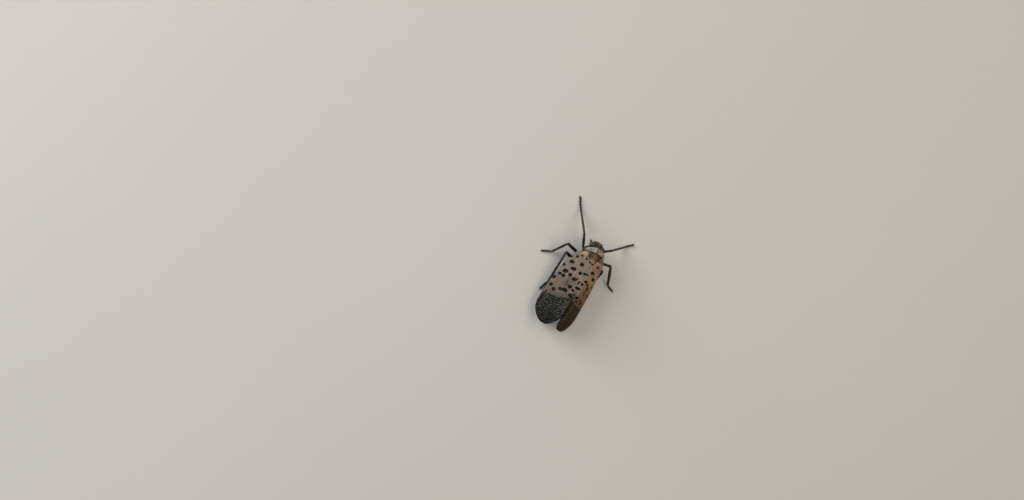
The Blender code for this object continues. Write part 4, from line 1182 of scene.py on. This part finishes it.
def buildBristles():
    # short stiff hairs on femur, shin and foot, leaning towards the toe
    points, faces = [], []
    for line in legLines.values():
        path, radius, across, part = (line[key] for key in ("path", "radius", "across", "part"))
        along = np.gradient(path, axis=0)
        lengths = np.linalg.norm(along, axis=1)
        for k in range(4, len(path) - 3):
            if part[k] < 2:
                continue
            forward = along[k] / lengths[k]
            side = unit(across[k] - forward * (across[k] @ forward))
            up = np.cross(forward, side)
            for _ in range(max(1, int(bristle["perMm"] * lengths[k]))):
                turn = draw.uniform(0, 2 * math.pi)
                c, s = math.cos(turn), math.sin(turn)
                way = c * side + s * up
                base = path[k] + side * c * radius[k, 0] * 0.93 + up * s * radius[k, 1] * 0.93
                base = base + forward * draw.uniform(-0.03, 0.03)
                lean = unit(way + forward * bristle["lean"] * draw.uniform(0.7, 1.4))
                tip = base + lean * draw.uniform(*bristle["length"])
                if tip[2] < 0.01 or base[2] < 0.05:
                    continue
                thick = bristle["radius"] * draw.uniform(0.8, 1.2)
                offset = unit(np.cross(way, forward))
                other = np.cross(lean, offset)
                first = len(points)
                root = (offset * math.cos(a) + other * math.sin(a) for a in (0, 2.09, 4.19))
                points += [*(base + corner * thick for corner in root), tip]
                faces += [tuple(first + corner for corner in face) for face in
                          ((0, 1, 3), (1, 2, 3), (2, 0, 3), (0, 2, 1))]
    return meshObject("bristles", points, faces)


settleHorn(buildClaws(), "black_cuticle", *claw["horn"])
settleHorn(buildSpines(), "black_cuticle", *spine["horn"])
settleHorn(buildBristles(), "black_cuticle", *bristle["horn"])
print("claws, spines and bristles set")

# Abdomen: eight overlapping segments, yellow with black bands, waxy at their hind edges

abdomen = {
    "frontY": -4.2, "tipY": 8.3, "segments": 8, "firstY": -3.65, "rings": 300, "sides": 96, "step": 0.05,
    "middleZ": 3.9, "ruffle": (0.010, 0.5, 5.5), "redFrom": (10.6, 11.4),
    "halfWidth": ((-4.2, 2.1), (-3.65, 2.3), (-1.5, 2.75), (2.0, 2.75), (5.0, 2.1), (7.2, 1.25), (8.3, 0.5)),
    "lowZ": ((-4.2, 2.6), (-3.65, 2.35), (-1.5, 1.95), (2.0, 1.85), (5.0, 2.0), (8.3, 2.6)),
    "highZ": ((-4.2, 5.6), (-3.65, 5.85), (-1.5, 5.95), (2.0, 5.85), (5.0, 5.2), (7.2, 4.2), (8.3, 3.4)),
    "yellow": (0.56, 0.40, 0.06), "black": (0.016, 0.015, 0.014), "wax": (0.48, 0.47, 0.43),
    "red": (0.40, 0.05, 0.02), "dust": (0.05, 0.04, 0.03),
}


def buildAbdomen():
    y = np.linspace(abdomen["frontY"], abdomen["tipY"], abdomen["rings"])
    long = (abdomen["tipY"] - abdomen["firstY"]) / abdomen["segments"]
    phase = (((y - abdomen["firstY"]) / long) % 1.0)[:, None]
    groove = abdomen["step"] * (1 - phase**0.7) - 0.01 * bump(phase, 0.93, 0.05)
    rings = trunkRings(abdomen, y, groove)
    angle = circle(abdomen["sides"])[None]
    # a fold down each flank parts the back plates from the belly plates
    rings[..., 0] *= 1 - 0.045 * bump(np.abs(angle - math.pi) / math.pi, 0.40, 0.035)
    piece = unevenTube("abdomenSkin", abdomen, rings, abdomenFinish())
    paint(piece, "phase", phase + 0 * angle, 0, 1)
    paint(piece, "back", (1 + np.cos(angle)) / 2 + 0 * phase, 0.5, 0.5)
    return piece


def abdomenFinish():
    made = Finish("abdomen", 0.5, 0.4)
    where = made.spot()
    fine, patches = made.grain(where, 0.10, 4.0), made.grain(where, 0.6, 3.0)
    phase, back = made.painted("phase") + (patches - 0.5) * 0.22, made.painted("back")
    bandOnBack = (1 - phase.between(0.46, 0.54)) * back.between(0.52, 0.60)
    bandBelow = phase.between(0.10, 0.18) * (1 - phase.between(0.62, 0.70)) * (1 - back.between(0.40, 0.48))
    colour = made.layers(
        abdomen["yellow"], abdomen,
        ("black", bandOnBack.top(bandBelow)),
        ("wax", phase.between(0.80, 0.9) * 0.55),
        ("red", made.axis(where, "Y").between(*abdomen["redFrom"]) * 0.8),
        ("dust", fine.between(0.55, 0.8) * 0.3))
    return made.done(colour, 0.42 + fine * 0.25, fine, 0.015)


settle(buildAbdomen(), "yellow_banded_abdomen", "abdomen")
print("abdomen done")

# Eyes in their raised rims, ocelli and antennae

ocellus = {
    "centre": (1.21, -11.36, 5.30), "radius": 0.17,
    "horn": ((0.30, 0.135, 0.050), (0.16, 0.06, 0.02), 0.25),
}
feeler = {
    "root": (0.88, -10.86, 4.82), "way": (0.72, -0.56, -0.32),
    # distance and radius: scape, neck, round pedicel, then the base of the bristle
    "profile": ((0.0, 0.24), (0.45, 0.25), (0.60, 0.25), (0.70, 0.20), (0.80, 0.29), (0.98, 0.37),
                (1.16, 0.35), (1.30, 0.24), (1.36, 0.11), (1.44, 0.07), (1.56, 0.065), (1.64, 0.032),
                (2.4, 0.012)),
    "count": 150, "sides": 40, "bulb": (0.74, 0.84, 1.22, 1.32), "bristle": 1.44, "rowLength": 0.11,
    "orange": (0.17, 0.050, 0.016), "dark": (0.030, 0.014, 0.009), "plaque": (0.24, 0.095, 0.035),
}


def buildEye(side, name, finish):
    a = np.linspace(-0.1, math.pi / 2 * 0.985, eye["rings"])[:, None]
    b = circle(eye["sides"])[None]
    ball = np.stack([side * np.sin(a) + 0 * b, np.cos(a) * np.sin(b), np.cos(a) * np.cos(b)], -1)
    return tubeObject(name, ball * eye["radii"] + onSide(side, eye["centre"]), finish)


def eyeFinish():
    made = Finish("eye", 0.22, 0.6)
    where = made.spot()
    colour = made.blend(eye["dark"], eye["brown"], made.grain(where, 0.5, 2.0).between(0.35, 0.7))
    facets = made.cells(where, eye["facet"])
    return made.done(colour, 0.2 + made.grain(where, 0.3, 2.0) * 0.12, 1 - facets * facets * 2.2, 0.006)


def buildRim(side):
    # a ring that laps over its own start underneath
    b = np.linspace(math.pi, 3.04 * math.pi, 92)
    wide, tall = eye["radii"][1] + 0.01, eye["radii"][2] + 0.01
    middle = np.array([side * eye["rimX"], *eye["centre"][1:]])
    ring = middle + np.stack([0 * b, wide * np.sin(b), tall * np.cos(b)], -1)
    return tubeObject("rim", tubeRings(ring, eye["rimWidth"], eye["rimWidth"], (side, 0, 0), 12))


def buildOcellus(side):
    a, b = np.linspace(0.05, math.pi - 0.05, 20)[:, None], circle(28)[None]
    ball = np.stack([np.cos(a) + 0 * b, np.sin(a) * np.cos(b), np.sin(a) * np.sin(b)], -1) * ocellus["radius"]
    return tubeObject("ocellus", ball + onSide(side, ocellus["centre"]))


def buildFeeler(side, name, finish):
    at = np.linspace(0, feeler["profile"][-1][0], feeler["count"])[:, None]
    radius = smooth(feeler["profile"], at[:, 0])
    droop = np.array([0, 0, -0.12]) * np.maximum(0, at - feeler["bristle"]) ** 2
    path = onSide(side, feeler["root"]) + unit(onSide(side, feeler["way"])) * at + droop
    rings = tubeRings(path, radius, radius, (0, 0, 1), feeler["sides"])
    # round sensory plaques stand up on the pedicel
    onBulb = step(*feeler["bulb"][:2], at) * (1 - step(*feeler["bulb"][2:], at))
    angle, row = circle(feeler["sides"])[None], at / feeler["rowLength"]
    plaques = np.maximum(0, np.cos(angle * 9 + np.floor(row) * 1.6)) ** 1.5
    plaques = plaques * np.maximum(0, np.sin(row * 2 * math.pi)) * onBulb
    rings = path[:, None] + (rings - path[:, None]) * (1 + 0.09 * plaques)[..., None]
    piece = tubeObject(name, rings, finish)
    paint(piece, "plaque", plaques, 0, 0)
    paint(piece, "alongFeeler", at + 0 * angle, 0, at[-1, 0])
    return piece


def feelerFinish():
    made = Finish("antenna", 0.4, 0.5)
    fine = made.grain(made.spot(), 0.07, 3.0)
    colour = made.layers(
        feeler["orange"], feeler,
        ("plaque", made.painted("plaque") * 0.8),
        ("dark", made.painted("alongFeeler").between(feeler["bristle"] - 0.12, feeler["bristle"])),
        ("dark", fine.between(0.55, 0.85) * 0.35))
    return made.done(colour, 0.33 + fine * 0.2, fine, 0.01)


eyeGloss, feelerGloss = eyeFinish(), feelerFinish()
for side, word in bothSides:
    settle(buildEye(side, "eye" + word, eyeGloss), "eye", "eye_" + word.lower())
    settle(buildFeeler(side, "feeler" + word, feelerGloss), "orange_antenna", "antenna_" + word.lower())
settleHorn(joinObjects("eyeRims", [buildRim(1), buildRim(-1)]), "grey_brown_cuticle", *eye["rimHorn"])
settleHorn(joinObjects("ocelli", [buildOcellus(1), buildOcellus(-1)]), "orange_antenna", *ocellus["horn"])
print("head pieces done")

# Floor, light and camera

room = {
    "floor": (0.62, 0.61, 0.59), "grain": 60.0, "halfWidth": 1500,
    "key": 5.4, "keySize": 0.45, "keyColour": (1.0, 0.985, 0.96),
    "fill": 1.6, "fillSize": 0.7, "fillColour": (1.0, 0.80, 0.56),
    "sky": 0.38, "skyColour": (0.93, 0.95, 1.0), "lightAway": 0.75,
}
lens = {
    "turn": 28.0, "away": 600.0, "sensor": 36.0, "pixelsPerMm": 3.88, "height": 5.0,
    "image": (1024, 500), "gridPixel": (585, 288),   # where the view's zero lies in the photograph
}


def buildFloor():
    far = room["halfWidth"]
    corners = [(-far, -far, 0), (far, -far, 0), (far, far, 0), (-far, far, 0)]
    floor = meshObject("floor", corners, [(0, 1, 2, 3)])
    made = Finish("floor", 0.8, 0.2)
    darker = tuple(c * 0.97 for c in room["floor"])
    tone = made.blend(room["floor"], darker, made.grain(made.spot(), room["grain"], 2.0))
    floor.data.materials.append(made.wire(Base_Color=tone))


def viewAxes():
    tilt, turn = math.radians(seen["tilt"]), math.radians(lens["turn"])
    back, headward = Vector((math.sin(tilt), 0, math.cos(tilt))), Vector((0, -1, 0))
    level = headward.cross(back)
    right = level * math.cos(turn) + headward * math.sin(turn)
    up = headward * math.cos(turn) - level * math.sin(turn)
    return right, up, back


def addCamera(right, up, back):
    camera = bpy.data.objects.new("camera", bpy.data.cameras.new("camera"))
    camera.data.sensor_width = lens["sensor"]
    camera.data.lens = lens["sensor"] * lens["away"] / (lens["image"][0] / lens["pixelsPerMm"])
    camera.data.clip_start, camera.data.clip_end = 0.01, 20
    # what the middle of the photograph looks at
    zero = Vector((seen["offset"] / math.cos(math.radians(seen["tilt"])), 0, 0)) + back * lens["height"]
    wide, high = (image / 2 - pixel for image, pixel in zip(lens["image"], lens["gridPixel"]))
    aim = zero + Vector(moved) + (right * wide - up * high) / lens["pixelsPerMm"]
    turned = Matrix((right, up, back)).transposed().to_4x4()
    camera.matrix_world = Matrix.Translation((aim + back * lens["away"]) * mm) @ turned
    bpy.context.scene.collection.objects.link(camera)
    bpy.context.scene.camera = camera


def addLight(name, way):
    lamp = bpy.data.lights.new(name + "Light", "AREA")
    lamp.shape, lamp.size = "DISK", room[name + "Size"]
    lamp.energy, lamp.color = room[name], room[name + "Colour"]
    holder = bpy.data.objects.new(name + "Light", lamp)
    holder.location = way.normalized() * room["lightAway"]
    holder.rotation_euler = (-way).to_track_quat("-Z", "Y").to_euler()
    bpy.context.scene.collection.objects.link(holder)


def addSky():
    world = bpy.data.worlds.new("studio")
    world.use_nodes = True
    sky = world.node_tree.nodes["Background"].inputs
    sky["Color"].default_value, sky["Strength"].default_value = (*room["skyColour"], 1), room["sky"]
    bpy.context.scene.world = world
    bpy.context.scene.view_settings.view_transform = "Standard"


right, up, back = viewAxes()
buildFloor()
addCamera(right, up, back)
addLight("key", back * 0.75 + up * 0.5 - right * 0.55)
addLight("fill", back * 0.8 - up * 0.2 + right * 0.9)
addSky()
print("camera and light set")
